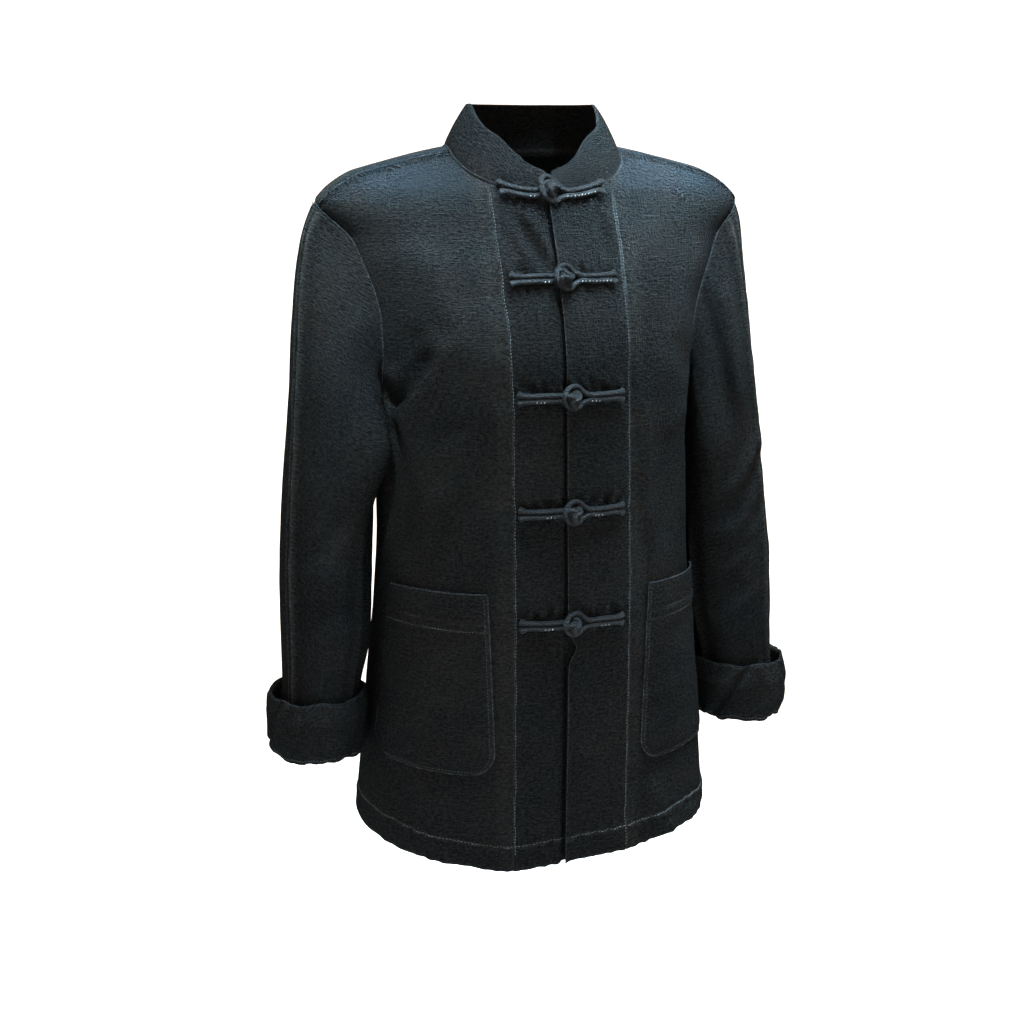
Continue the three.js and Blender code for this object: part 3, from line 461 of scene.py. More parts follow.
def shell(name, outer, thickness, ring=False, free=(), wear_and_highlight=0.0, flip=False, grain=None):
    """A closed wall of cloth. free names the edges that roll over: top, bottom, first, last. The
    roll is EDGE_ROLL * t * (1 - sqrt(1 - (1 - d / t)^2)) at a distance d from the edge, for a
    thickness t. grain gives the weave's own place where the grid's lengths don't."""
    rows, columns = outer.shape[:2]
    normal = facing(outer, ring) * (-1 if flip else 1)
    looped = np.concatenate([outer, outer[:, :1]], 1) if ring else outer
    down, across = lengths(looped, 0), lengths(looped, 1)
    u, v = (across, -down) if grain is None else grain
    roll = np.zeros((rows, columns))
    edges = {"top": down, "bottom": down[-1:] - down, "first": across, "last": across[:, -1:] - across}
    for edge in free:
        near = np.clip(1 - edges[edge][:, :columns] / thickness, 0, 1)
        roll = np.maximum(roll, EDGE_ROLL * thickness * (1 - np.sqrt(1 - near ** 2)))
    inner = outer - normal * thickness
    outer = outer - normal * roll[..., None]
    faces, uvs = wall_faces(rows, columns, ring, u, v)
    if flip:
        faces, uvs = faces[:, ::-1], uvs[:, ::-1]
    points = np.concatenate([outer.reshape(-1, 3), inner.reshape(-1, 3)])
    wear_and_highlight = np.clip(np.broadcast_to(wear_and_highlight, (rows, columns)), 0, 1).ravel()
    cell = np.linalg.norm(np.cross(np.diff(looped, axis=0)[:, :-1], np.diff(looped, axis=1)[:-1]), axis=-1)
    print(f"{name}: cut about {across.max() * MM:.3f} x {down.max() * MM:.3f} m, "
          f"{cell.sum() * MM * MM:.4f} square metres")
    return cloth_piece(name, points, faces, uvs, np.concatenate([wear_and_highlight, wear_and_highlight]))


pieces = {}                  # the cloth and cord of each frame node, by the node's name

# %% [markdown]
# ## The panels
# The back is one panel. Each front runs from the armhole and side seam to a long band, and the two
# bands meet in the middle, the left one on top. A panel's grid runs across its top edge, neckline
# then shoulder, and down to the hem; every column ends on the side seam's share of the width.

# %% Grid of a panel
SHOULDER_STEPS = 6
FRONT_NECK_STEPS, BACK_NECK_STEPS = 2, 5
NECK_CROWDING = 1.3          # a front's columns stand closer together at its neck
UNDER_BAND = 4               # a front runs on under its band by this much
DENSE_SHARE, DENSE_ROWS = 0.1, 20


def shares(start, middle, end, counts):
    """Rising shares as a column: counts[0] of them to the middle, then on to the end."""
    first, second = np.linspace(start, middle, counts[0]), np.linspace(middle, end, counts[1])
    return np.concatenate([first, second[1:]])[:, None]


def half_panel(face, side, neck_steps, drop, columns, rows):
    """Place on the body for each share across and down: across the top edge the neckline goes by its
    turn and the shoulder by its width; lower down the columns close up between band and side."""
    last = neck_steps + SHOULDER_STEPS
    j = last * np.linspace(0, 1, columns) ** (NECK_CROWDING if face == "front" else 1)
    first = band_seam(side, -drop) - UNDER_BAND if face == "front" else 0.0
    turn = mix(math.asin(first / NECK_X), math.pi / 2, np.clip(j / neck_steps, 0, 1))
    on_shoulder = mix(NECK_X, TIP_X, (j - neck_steps) / SHOULDER_STEPS)
    top_x = np.where(j <= neck_steps, NECK_X * np.sin(turn), on_shoulder)
    top_z = np.where(j <= neck_steps, neck_height(top_x, drop), shoulder_height(top_x))
    low = np.sin(math.pi / 2 * j / last) ** (2 / ROUND)
    hem_z = hem_height(side * mix(first, HEM_X, low))
    upper = shares(0, DENSE_SHARE, 1, (DENSE_ROWS, rows[0]))
    lower = shares(0, 1 - DENSE_SHARE, 1, rows[1:])[1:]
    z = np.concatenate([mix(top_z, UNDERARM_Z, upper), mix(UNDERARM_Z, hem_z, lower)])
    inside = band_seam(side, z) - UNDER_BAND if face == "front" else 0 * z
    high = (top_x - inside[0]) / (TIP_X - inside[0])
    across = mix(high, low, np.concatenate([upper, np.ones_like(lower)]))
    return side * mix(inside, armhole_x(z, face), across), z


ARC_TURN = np.sin(np.linspace(0, 1, CURVE_POINTS) * math.pi / 2)
ARC_DEPTH = 0.72             # a usual slice's depth for a half width of one
arc_step = np.hypot(np.diff(ARC_TURN), ARC_DEPTH * np.diff((1 - ARC_TURN ** ROUND) ** (1 / ROUND)))
ARC_RUN = np.concatenate([[0], np.cumsum(arc_step)])


def grain_of(x, z):
    """The weave's own place: across it is the length of the slice's curve, up it is the height."""
    width = body_width(z)
    return np.sign(x) * width * np.interp(np.abs(x) / width, ARC_TURN, ARC_RUN), z + 0 * x


def edge_wear_and_highlight(x, z, face):
    """How pale the cloth is painted, from 0 to 1, partly as worn cloth and partly as painted highlight: most
    along the band seams, the hem and its stitching.
    """
    hem = z - hem_height(x)
    wear_and_highlight = 0.8 * bell(hem, 2.5) + 0.45 * bell(hem - HEM_TURN, 2)
    if face == "front":
        for side in (-1, 1):
            off = side * x - band_seam(side, z)
            wear_and_highlight = wear_and_highlight + 0.55 * bell(off - 0.5, 1.6) + 0.25 * bell(off - 8, 8)
    neck = z - neck_height(x, FRONT_DROP if face == "front" else BACK_DROP)
    wear_and_highlight = wear_and_highlight + 0.7 * bell(neck, 2.5) * (np.abs(x) < NECK_X + 3)
    shoulder = z - shoulder_height(np.clip(np.abs(x), NECK_X, TIP_X))
    wear_and_highlight = wear_and_highlight + 0.5 * bell(shoulder, 2) * (np.abs(x) > NECK_X)
    return np.clip(wear_and_highlight, 0, 1)


def panel_piece(name, face, x, z, flip):
    """A panel as a shell; where a front runs under its band it lies lower by the band's thickness."""
    sink = 0
    if face == "front":
        off = np.abs(x) - band_seam(np.sign(x[0, 0]), z)
        sink = (CLOTH + SEWN_GAP) * smooth((0.9 - off) / 1.6)
    point, _ = cloth(x, z, face, -sink)
    return shell(name, point, CLOTH, free=("bottom",), wear_and_highlight=edge_wear_and_highlight(x, z, face), flip=flip,
                 grain=grain_of(x, z))


# %% Back and fronts
# rows above the armpit, below it and in the hem
FRONT_ROWS, BACK_ROWS = (76, 150, 40), (52, 94, 34)
FRONT_COLUMNS, BACK_COLUMNS = 92, 64         # of each front, and of each half of the back
halves = [half_panel("back", side, BACK_NECK_STEPS, BACK_DROP, BACK_COLUMNS, BACK_ROWS) for _, side in SIDES]
back_x, back_z = [np.concatenate([right[:, :0:-1], left], 1) for right, left in zip(*halves)]
pieces["back"] = panel_piece("back_panel", "back", back_x, back_z, True)
for name, side in SIDES:
    x, z = half_panel("front", side, FRONT_NECK_STEPS, FRONT_DROP, FRONT_COLUMNS, FRONT_ROWS)
    pieces["front_" + name] = panel_piece(f"front_{name}_panel", "front", x, z, side < 0)

# %% Bands: the left laps over the right
BAND_STEPS, BAND_ROWS = 44, 360
FLAP_SHIFT, FLAP_BELOW, FLAP_Z = 8, 24, -452  # the lap swings aside below the last closure


def band_places(side):
    """Distances across a band from the middle, positive towards its own side, and the sink under
    the lap, which starts where the left band's edge ends."""
    end = -LAP_OVER if side > 0 else -LAP_UNDER
    place = np.linspace(BAND_X, end, BAND_STEPS)
    step = smooth((LAP_OVER + LAP_SLOPE - place) / (LAP_SLOPE - 1)) if side < 0 else 0 * place
    return place, step * (CLOTH + LAP_CLEARANCE)


for name, side in SIDES:
    place, sink = band_places(side)
    z = mix(neck_height(place, FRONT_DROP), hem_height(side * place), np.linspace(0, 1, BAND_ROWS)[:, None])
    narrower = BAND_X - band_seam(side, z)
    x = side * (place - narrower * np.maximum(place / BAND_X, 0))
    if side > 0:
        x = x + FLAP_SHIFT * bell(z - FROG_Z[-1] + FLAP_BELOW, 11) * smooth((18 - place) / 22)
        stand = 1.5 + 1.4 * bell(z + 80, 34) + 2.4 * smooth((FLAP_Z - z) / 24)
        edge_curl = stand * bell(place - place[-1], 4)
    else:
        edge_curl = -0.8 * bell(place - LAP_OVER - 1, 4)
    point, _ = cloth(x, z, "front", edge_curl - sink)
    lap_line = point[:, -1]
    # Painted highlight and worn pale along the band's seams and the lap's edge.
    wear_and_highlight = edge_wear_and_highlight(x, z, "front") + 0.5 * bell(place - place[-1], 1.5)
    pieces["band_" + name] = shell(f"front_band_{name}", point, CLOTH, free=("bottom", "first", "last"),
                                   wear_and_highlight=wear_and_highlight, flip=side > 0, grain=grain_of(x, z))

# %% [markdown]
# ## The sleeves
# A set-in sleeve is a tube whose top edge is the armhole. Its cap leaves the shoulder almost level
# and turns down into the arm, so each line of the cap is a cubic Bezier curve from a point of the
# armhole to the first level slice of the arm. The rest are level slices down to the wrist.

# %% Slices and seams of the arm
# height, middle x and y, half width, half depth
SLEEVE = np.array([(-262, 198, 9, 40, 56), (-300, 200.5, 6, 42, 55), (-350, 203.5, 2, 44, 52),
                   (-400, 206.5, -3, 44.5, 50), (-460, 209, -8, 43, 47), (-510, 214.5, -11, 38.5, 43),
                   (-574, 221, -12, 36.5, 40.5)])
sleeve_x, sleeve_y, sleeve_w, sleeve_d = [curve_through(SLEEVE[:, 0], SLEEVE[:, k]) for k in (1, 2, 3, 4)]
SLEEVE_TOP, SLEEVE_END, ARM_RADIUS = -262, -574, 45
SPLAY = {-1: 0, 1: 3}        # how far each arm hangs out at the wrist


def sleeve_point(side, z, turn, lift=0.0):
    """A level slice of the arm: an ellipse about its middle. Turn nought faces away from the body and
    a quarter turn faces forwards."""
    z, turn = np.broadcast_arrays(np.asarray(z, float), np.asarray(turn, float))
    hang = SPLAY[side] * smooth((SLEEVE_TOP - z) / (SLEEVE_TOP - SLEEVE_END))
    x = side * (sleeve_x(z) + hang + (sleeve_w(z) + lift) * np.cos(turn))
    return np.stack([x, sleeve_y(z) - (sleeve_d(z) + lift) * np.sin(turn), z], -1)


def armhole_ring(side, count):
    """The armhole seam: down its front edge, then up its back edge, closer together at its ends."""
    r = np.arange(count) / count * 2
    down = np.where(r <= 1, r, 2 - r)
    z = mix(TIP_Z, UNDERARM_Z, (1 - np.cos(math.pi * down)) / 2)
    front, _ = body_point(side * armhole_x(z, "front"), z, "front")
    back, _ = body_point(side * armhole_x(z, "back"), z, "back")
    return np.where((r <= 1)[:, None], front, back)


print("arm slices:", len(SLEEVE))

# %% Creases, drags and gathers of a sleeve
CREASE_Z = [-574, -420, -300, -60]
CREASE_TURN = {-1: curve_through(CREASE_Z, [0.66, 0.62, 0.56, 0.36]),
               1: curve_through(CREASE_Z, [0.95, 0.95, 0.90, 0.60])}
CREASE_GAP = 7               # the second, weaker press line runs this far from the first
INNER_CREASE = {-1: 2.25, 1: 2.85}
INNER_BULGE = {-1: 27, 1: 9}  # how far the cloth fills the space between arm and body
# one end (z, turn), the other end (z, turn), reach across, rise
SLEEVE_FOLDS = {-1: [(-120, 1.5, -190, 1.0, 9, -1.6), (-330, 1.9, -380, 1.2, 10, -2.2),
                     (-350, 2.0, -410, 1.3, 8, 1.8), (-420, 1.9, -450, 1.1, 11, -2.0),
                     (-500, 1.2, -560, 2.0, 9, 1.8), (-530, 0.8, -565, 1.4, 8, -1.8),
                     (-380, 4.4, -430, 5.2, 12, -2.6), (-300, 4.2, -350, 5.0, 12, 2.2)],
                1: [(-120, 1.2, -260, 1.45, 8, 4.0), (-120, 1.55, -270, 1.8, 8, -4.0),
                    (-280, 0.9, -345, 1.9, 7, 4.0), (-300, 0.8, -368, 1.8, 7, -4.0),
                    (-330, 1.1, -395, 2.1, 8, 3.4), (-420, 1.6, -470, 2.4, 11, -3.2),
                    (-510, 1.2, -565, 0.6, 9, 2.0), (-380, 4.4, -430, 5.2, 12, -2.6)]}


def sleeve_folds(side, z, turn):
    """Sum of listed ridges: each is a bell of the distance to its own line on the unrolled arm."""
    rise = 0
    for z0, t0, z1, t1, reach, height in SLEEVE_FOLDS[side]:
        along = np.clip(((z - z0) * (z1 - z0) + (turn - t0) * ARM_RADIUS * (t1 - t0) * ARM_RADIUS)
                        / ((z1 - z0) ** 2 + ((t1 - t0) * ARM_RADIUS) ** 2), 0, 1)
        off = np.hypot(z - mix(z0, z1, along), (turn - mix(t0, t1, along)) * ARM_RADIUS)
        rise = rise + height * bell(off, reach) * smooth(np.sin(math.pi * along) + 0.3)
    return rise


def sleeve_relief(side, z, turn, cap):
    """Relief of a sleeve: the pressed crease down its outer front, slanting drags at the elbow,
    hanging waves, the underarm seam, and gathers where the cap is eased into the armhole."""
    off = (turn - CREASE_TURN[side](z)) * ARM_RADIUS
    pressed = 3.4 * bell(off, 2.2) + 1.8 * bell(off + CREASE_GAP, 1.6) - 1.6 * bell(off - 6, 4)
    rise = pressed * smooth((z - SLEEVE_END + 16) / 20)
    off = (turn - INNER_CREASE[side]) * ARM_RADIUS
    inner = 3.6 * bell(off, 3) - 6.0 * bell(off - 12, 8) - 1.4 * bell(off + 9, 6)
    rise = rise + inner * smooth((-330 - z) / 90)
    rise = rise + INNER_BULGE[side] * bell(turn - 2.3, 0.40) * bell(z + 272, 50)
    rise = rise + sleeve_folds(side, z, turn)
    rise = rise + 0.9 * ripple(turn * 1.1, z / 190, 30 + side) + 0.35 * ripple(turn * 3.4, z / 52, 32 + side)
    drag = ripple(turn * 1.6 + side * z / 60, z / 34, 34 + side)
    rise = rise + 1.1 * drag * bell(z + 395, 60) * bell(np.sin((turn - 1.9) / 2) * 2, 1.1)
    rise = rise + 0.9 * ripple(turn * 3, z / 24, 36 + side) * bell(z + 556, 26)
    fall = (SLEEVE_TOP - z) / (SLEEVE_TOP - SLEEVE_END)
    rise = rise - 0.6 * bell((turn - math.pi) * 40, 1.2) * smooth(fall * 8)
    gathers = 0.55 * ripple(turn * 7.5, z / 70, 38 + side) * bell(cap - 0.12, 0.28)
    return rise + gathers * np.clip(np.cos(turn) + 0.4, 0, 1)


print("hand-placed folds of the sleeves:", [len(SLEEVE_FOLDS[side]) for _, side in SIDES])

# %% Sleeves
CAP_FALL, CAP_ARRIVE = math.radians(50), 0.5
CAP_LEAVE = {-1: 0.14, 1: 0.10}
CAP_LEAN = {-1: 0.04, 1: 0.08}
TURN_STEPS, CAP_STEPS, ARM_STEPS = 144, 46, 92
GRAIN_RADIUS, GRAIN_SLANT = 48, 0.6          # the weave's own place on the tube and over the cap


def sleeve_tube(side, turn):
    """Points of a plain sleeve: the cap's Bezier curves, (1-t)^3 a + 3(1-t)^2 t b + 3(1-t) t^2 c +
    t^3 d for each turn, then the arm's level slices."""
    start, end = armhole_ring(side, TURN_STEPS), sleeve_point(side, SLEEVE_TOP, turn)
    span = np.linalg.norm(end - start, axis=-1, keepdims=True)
    fall = CAP_FALL * np.maximum(np.cos(turn), 0)
    away = np.stack([side * np.cos(fall), 0 * fall, -np.sin(fall)], -1)
    leave = start + away * span * CAP_LEAVE[side]
    arrive = end + span * np.array([-side * CAP_LEAN[side], 0, CAP_ARRIVE])
    t = np.linspace(0, 1, CAP_STEPS)[:, None, None]
    cap = (1 - t) ** 3 * start + 3 * (1 - t) ** 2 * t * leave + 3 * (1 - t) * t ** 2 * arrive + t ** 3 * end
    arm = sleeve_point(side, np.linspace(SLEEVE_TOP, SLEEVE_END, ARM_STEPS)[1:, None], turn)
    return np.concatenate([cap, arm])


sleeve_grids = {}
for name, side in SIDES:
    turn = np.arange(TURN_STEPS) / TURN_STEPS * 2 * math.pi
    tube = sleeve_tube(side, turn)
    share = np.concatenate([np.linspace(0, 1, CAP_STEPS), np.ones(ARM_STEPS - 1)])[:, None]
    out = facing(tube, True) * -side
    out *= np.sign(out[-1, 0, 0] * side)
    seam = lengths(tube, 0)
    rise = sleeve_relief(side, tube[..., 2], turn, share) * smooth(seam / 12)
    rise = rise - 0.5 * bell(seam, 1.2) + 0.5 * bell(seam - 4, 3)
    off = (turn - CREASE_TURN[side](tube[..., 2])) * ARM_RADIUS
    # Painted highlight and worn pale along the armhole seam and the two pressed creases.
    wear_and_highlight = 0.6 * bell(seam, 2.5) + 1.0 * bell(off, 1.7) + 0.7 * bell(off + CREASE_GAP, 1.2)
    turn_on = np.append(turn, 2 * math.pi) + np.zeros((len(tube), 1))
    level = tube[..., 2] - GRAIN_SLANT * np.abs(tube[..., 0])
    level = np.concatenate([level, level[:, :1]], 1)
    tube = tube + out * rise[..., None]
    sleeve_grids[side] = tube, out
    pieces["sleeve_" + name] = shell(f"sleeve_{name}_cloth", tube, CLOTH, ring=True, wear_and_highlight=wear_and_highlight,
                                     flip=side > 0, grain=(GRAIN_RADIUS * turn_on, level))

# %% [markdown]
# ## The turned-up cuffs
# The sleeve is cut long and its end is turned up outside. The turn is a soft roll below, a wall
# going up, a second soft fold at the top and a wall coming down to a stitched hem. That profile is
# carried round the sleeve, and slanting wrinkles and a slack lower edge are added to it.

# %% Profile of a cuff
# how far out from the sleeve and how far up from its end each bend of the profile lies
CUFF_PATH = np.array([(0, -0.3), (0.9, -2.2), (3.0, -2.4), (4.6, 1.5), (6.0, 56), (7.6, 58.6),
                      (9.6, 57), (12.6, 38), (11.8, 10), (6.8, -3.5)])
CUFF_HEIGHT, CUFF_SWING, CUFF_WALL, CUFF_RADIUS = 58.6, 4, 1.5, 48
CUFF_STEPS, CUFF_TURNS, CUFF_SOFTNESS = 92, 150, 1.2


def rounded_path(corners, count, soften):
    """Even points along a bent line, each one the mean of the line over a short stretch around it."""
    run = run_along(corners)
    s = np.linspace(0, run[-1], count)
    reach = soften * np.minimum(1, np.minimum(s, run[-1] - s) / soften)
    near = s[:, None] + np.linspace(-1, 1, 9) * reach[:, None]
    return np.stack([np.interp(near, run, corners[:, k]).mean(1) for k in (0, 1)], 1), s


cuff_line, cuff_run = rounded_path(CUFF_PATH, CUFF_STEPS, CUFF_SOFTNESS)
CUFF_LENGTH = cuff_run[-1]
CUFF_TOP_RUN = 62            # where along the profile the upper fold lies
CUFF_STITCH_RUN = CUFF_LENGTH - 4.5
print("cuff profile:", round(CUFF_LENGTH, 1), "mm along")

# %% Cuffs
# turn of the middle, lean, reach across and rise of each cuff's own folds
CUFF_FOLDS = {-1: [(0.50, 0.6, 5, 4.4), (0.30, 0.6, 5, -3.6), (1.5, -0.25, 12, 1.4), (2.4, 0.4, 8, -3.0),
                   (4.2, -0.4, 9, 2.2), (5.2, 0.3, 8, -2.0)],
              1: [(2.35, -0.75, 4, 3.4), (2.15, -0.75, 4, -3.4), (1.2, 0.6, 7, 1.8), (0.5, 0.8, 6, -2.0),
                  (4.4, 0.4, 9, 2.2), (5.4, -0.3, 8, -2.0)]}
CUFF_CORNER, CUFF_LIFT = {-1: -0.05, 1: 0.42}, {-1: 6.0, 1: 5.0}    # the lower edge rises at this turn


def round_from(turn, middle):
    """Distance round a cuff from a turn, in millimetres, the short way."""
    return (np.mod(turn - middle + math.pi, 2 * math.pi) - math.pi) * CUFF_RADIUS


def cuff_point(side, run, turn, lift=0.0):
    """A point of the turned cloth at a distance along its profile: the arm's slice at that height,
    grown by the profile's reach, with wrinkles that die away inside and an uneven lower edge."""
    out, up = [np.interp(run, cuff_run, cuff_line[:, k]) for k in (0, 1)]
    above, level = np.maximum(up, 0), 0 * turn
    wrinkle = 1.6 * ripple(turn * 1.2 + side * up / 90, up / 60, 50 + side)
    wrinkle = wrinkle + 0.35 * ripple(turn * 5, up / 30, 54 + side)
    for where, lean, reach, height in CUFF_FOLDS[side]:
        wrinkle = wrinkle + height * bell(round_from(turn, where + lean * (up - 28) / 50), reach)
    edge = smooth((run - CUFF_LENGTH + 16) / 16)
    wrinkle = wrinkle * (0.8 - 0.15 * edge) + 0.45 * edge * ripple(turn * 9, level, 56 + side)
    wrinkle = wrinkle - 0.8 * bell(run - CUFF_STITCH_RUN, 1.2)
    droop = 2.6 * ripple(turn * 1.6, level, 58 + side) + 0.4 * ripple(turn * 6, level, 62 + side)
    droop = edge * (droop + CUFF_LIFT[side] * bell(round_from(turn, CUFF_CORNER[side]), 16))
    droop = droop + 1.8 * ripple(turn * 2.2, level, 64 + side) * bell(run - 3, 9)
    rim = 2.2 * ripple(turn * 1.1, level, 60 + side) * bell(run - CUFF_TOP_RUN, 14)
    lift = lift + wrinkle * smooth((run - CUFF_TOP_RUN) / 10)
    point = sleeve_point(side, SLEEVE_END + above, turn, out - CLOTH / 2 + CUFF_WALL / 2 + lift)
    point[..., 0] += side * CUFF_SWING * above / CUFF_HEIGHT
    point[..., 2] = SLEEVE_END + up + rim + droop
    return point


for name, side in SIDES:
    turn = np.arange(CUFF_TURNS) / CUFF_TURNS * 2 * math.pi
    run = cuff_run[:, None]
    # Painted highlight and worn pale on the cuff's top fold and its lower edge.
    wear_and_highlight = 0.8 * bell(run - CUFF_TOP_RUN, 3.5) + 0.5 * bell(CUFF_LENGTH - run, 2.5)
    pieces["cuff_" + name] = shell(f"cuff_{name}_turned", cuff_point(side, run, turn), CUFF_WALL, ring=True,
                                   free=("bottom",), wear_and_highlight=wear_and_highlight, flip=side > 0)

# %% [markdown]
# ## The stand collar
# A stand collar is a curved strip, doubled and stiffened, sewn to the neckline. It leans in and
# curls a little more towards its top, and its front ends are rounded. The strip follows the
# neckline all round, and each of its points is the base moved up by the collar's height there.

# %% Neckline
COLLAR_WALL, COLLAR_HEIGHT, COLLAR_LEAN, COLLAR_CURL = 2.4, 45, 17, 24
COLLAR_RIM, COLLAR_MIDDLE_Y, COLLAR_END, COLLAR_CORNER, COLLAR_RISE = 39, -8, 12, 12, 62
COLLAR_STEPS, COLLAR_ROWS = 250, 30
COLLAR_TUCK = [-0.05, -0.1]  # shares of the height that lie under the neckline seam


def neckline(count):
    """Even points along the neckline, from the middle front round the wearer's right and back again."""
    turn = np.linspace(0, math.pi / 2, 200)
    half = []
    for _, side in SIDES:
        front_x, back_x = NECK_X * np.sin(turn), NECK_X * np.sin(turn[::-1])
        front, _ = body_point(side * front_x, neck_height(front_x, FRONT_DROP), "front")
        back, _ = body_point(side * back_x, neck_height(back_x, BACK_DROP), "back")
        half.append(np.concatenate([front, back[1:]]))
    line = np.concatenate([half[0], half[1][-2::-1]])
    run = run_along(line)
    s = np.linspace(0, run[-1], count)
    return np.stack([np.interp(s, run, line[:, k]) for k in range(3)], 1), s


neck_line, neck_run = neckline(COLLAR_STEPS)
neck_out = unit((neck_line - [0, COLLAR_MIDDLE_Y, 0]) * [1, 1, 0])
print("neckline:", round(neck_run[-1], 1), "mm round")

# %% Collar
# place along the neckline, lean, reach and rise of the collar's folds, in millimetres
COLLAR_FOLDS = [(26, 8, 5, -1.6), (40, 14, 6, 1.4), (62, 10, 7, -1.8), (96, -8, 10, 1.2),
                (150, 6, 12, -1.2), (250, 0, 14, 1.2), (340, -6, 12, -1.2), (412, -10, 7, 1.6),
                (432, -12, 6, -1.8), (462, -8, 5, 1.2)]


def collar_point(share):
    """Collar points for a share of its height: base + up * height, where up leans in by a set angle
    and the height grows from the rounded front ends to the full stand."""
    from_end = np.minimum(neck_run, neck_run[-1] - neck_run)
    corner = np.sqrt(1 - (1 - np.minimum(from_end / COLLAR_CORNER, 1)) ** 2)
    levelled = (COLLAR_RIM - neck_line[:, 2]) / math.cos(math.radians(COLLAR_LEAN + COLLAR_CURL / 2))
    full = np.where(neck_line[:, 1] > SIDE_Y, levelled, COLLAR_HEIGHT)
    rise = smooth((from_end - COLLAR_CORNER / 2) / COLLAR_RISE)
    height = mix(COLLAR_END * (1 + corner), full, rise) * share
    lean = np.radians(COLLAR_LEAN + COLLAR_CURL * share / 2)[..., None]
    up = np.array([0, 0, 1]) * np.cos(lean) - neck_out * np.sin(lean)
    soft = 0.9 * ripple(neck_run / 46, share * 0.8, 70) + 0.35 * ripple(neck_run / 15, share * 2, 71)
    arch = np.sin(math.pi * np.clip(share, 0, 1)) ** 0.5
    for where, lean_by, reach, rise_mm in COLLAR_FOLDS:
        soft = soft + rise_mm * bell(neck_run - where - lean_by * share, reach) * arch
    soft = soft * smooth(share * 3) * (0.5 + bell(from_end, 60)) - 0.8 * bell(height, 1.2)
    return neck_line + up * height[..., None] + neck_out * soft[..., None]


share = np.concatenate([np.linspace(1, 0, COLLAR_ROWS), COLLAR_TUCK])[:, None]
# Painted highlight and worn pale on the collar's top edge and its base.
wear_and_highlight = 0.75 * bell(np.abs(share - 1) * COLLAR_HEIGHT, 1.8) + 0.7 * bell(share * COLLAR_HEIGHT, 1.8)
pieces["collar"] = shell("stand_collar", collar_point(share), COLLAR_WALL, free=("top", "first", "last"),
                         wear_and_highlight=wear_and_highlight, flip=True)

# %% [markdown]
# ## The patch pockets
# A patch pocket is a flat piece laid on the front: its points are the front's own points moved
# out. Its edge is sewn down and its mouth stands off a little. The mouth is turned in and held by
# two rows of stitching, so the cloth is double above them.

# %% Pockets
POCKET_TOP, POCKET_HEIGHT, POCKET_NEAR, POCKET_FAR = -399, 176, 77, 149
POCKET_NEAR_SPREAD, POCKET_FAR_SPREAD, POCKET_FAR_DROP, POCKET_CORNER = 6, 19, 7, 24
POCKET_FAR_ROUNDING, POCKET_WALL, POCKET_WIDTH = 0.5, 1.4, 88
POCKET_COLUMNS, POCKET_ROWS = 64, 110
MOUTH_ROWS = (26.5, 35.5)     # distance of its two rows of stitching from the mouth


def pocket_place(across, down):
    """Place on the front for shares across and down: the sides spread a little, the mouth dips to
    the side, and each lower corner is cut by a quarter round."""
    dip = POCKET_FAR_DROP * across ** 2 * (1 - down)
    z = POCKET_TOP - dip - POCKET_HEIGHT * down
    cut = np.maximum(1 - POCKET_HEIGHT * (1 - down) / POCKET_CORNER, 0)
    inset = POCKET_CORNER * (1 - np.sqrt(1 - cut * cut))
    near = POCKET_NEAR - POCKET_NEAR_SPREAD * down + inset
    far = POCKET_FAR + POCKET_FAR_SPREAD * down - inset * POCKET_FAR_ROUNDING
    return mix(near, far, np.sin(math.pi / 2 * across)), z


def pocket_point(side, across, down, lift=0.0):
    """A point of the pocket: low at the sewn edge, a stitched groove just inside it, proud in the
    middle and at the mouth, and a step where the turned-in mouth ends."""
    x, z = pocket_place(across, down)
    top, wide = down * POCKET_HEIGHT, across * POCKET_WIDTH
    from_edge = np.minimum(np.minimum(wide, POCKET_WIDTH - wide), (1 - down) * POCKET_HEIGHT)
    mouth = np.sin(math.pi * across) * np.maximum(1 - down / 0.4, 0)
    rise = 1.7 + 0.9 * smooth(from_edge / 9) + 1.6 * mouth - 0.55 * bell(from_edge - 2.6, 0.9)
    rise = rise + 0.8 * smooth((MOUTH_ROWS[1] + 2 - top) / 2)
    for row in MOUTH_ROWS:
        rise = rise - 0.8 * bell(top - row, 1.1)
    crinkle = ripple(wide / 7, top / 60, 80 + side) * bell(from_edge, 8)
    rise = rise + 0.25 * crinkle + 0.35 * ripple(wide / 60, top / 30, 82 + side)
    rise = rise + 0.3 * ripple(across * 3, top / 5, 84 + side) * bell(top - np.mean(MOUTH_ROWS), 9)
    return cloth(side * x, z, "front", rise + lift)


for name, side in SIDES:
    across = np.linspace(0, 1, POCKET_COLUMNS)
    down = 1 - (1 - np.linspace(0, 1, POCKET_ROWS)[:, None]) ** 1.15
    grid, _ = pocket_point(side, across, down)
    top, from_side = down * POCKET_HEIGHT, np.minimum(across, 1 - across) * 80
    # Painted highlight and worn pale on the pocket's edges, mouth and rows of stitching.
    wear_and_highlight = 0.6 * bell(from_side, 1.6) + 0.5 * bell(POCKET_HEIGHT - top, 2) + 0.5 * bell(top, 1.6)
    for row in MOUTH_ROWS:
        wear_and_highlight = wear_and_highlight + 0.35 * bell(top - row, 1.6)
    pieces["pocket_" + name] = shell(f"patch_pocket_{name}", grid, POCKET_WALL, flip=side < 0,
                                     free=("top", "bottom", "first", "last"), wear_and_highlight=wear_and_highlight)

# %% [markdown]
# ## Cords, knots and loops
# Each closure is bias-cut cord. On the wearer's right two cords run side by side to a knot tied
# like a little basket; on the wearer's left one cord goes out, rings the knot and comes back. A
# cord is a circle carried along a path, and the knot's path is a closed plait laid on a ball.

# %% Cord maker
CORD_SIDES = 12


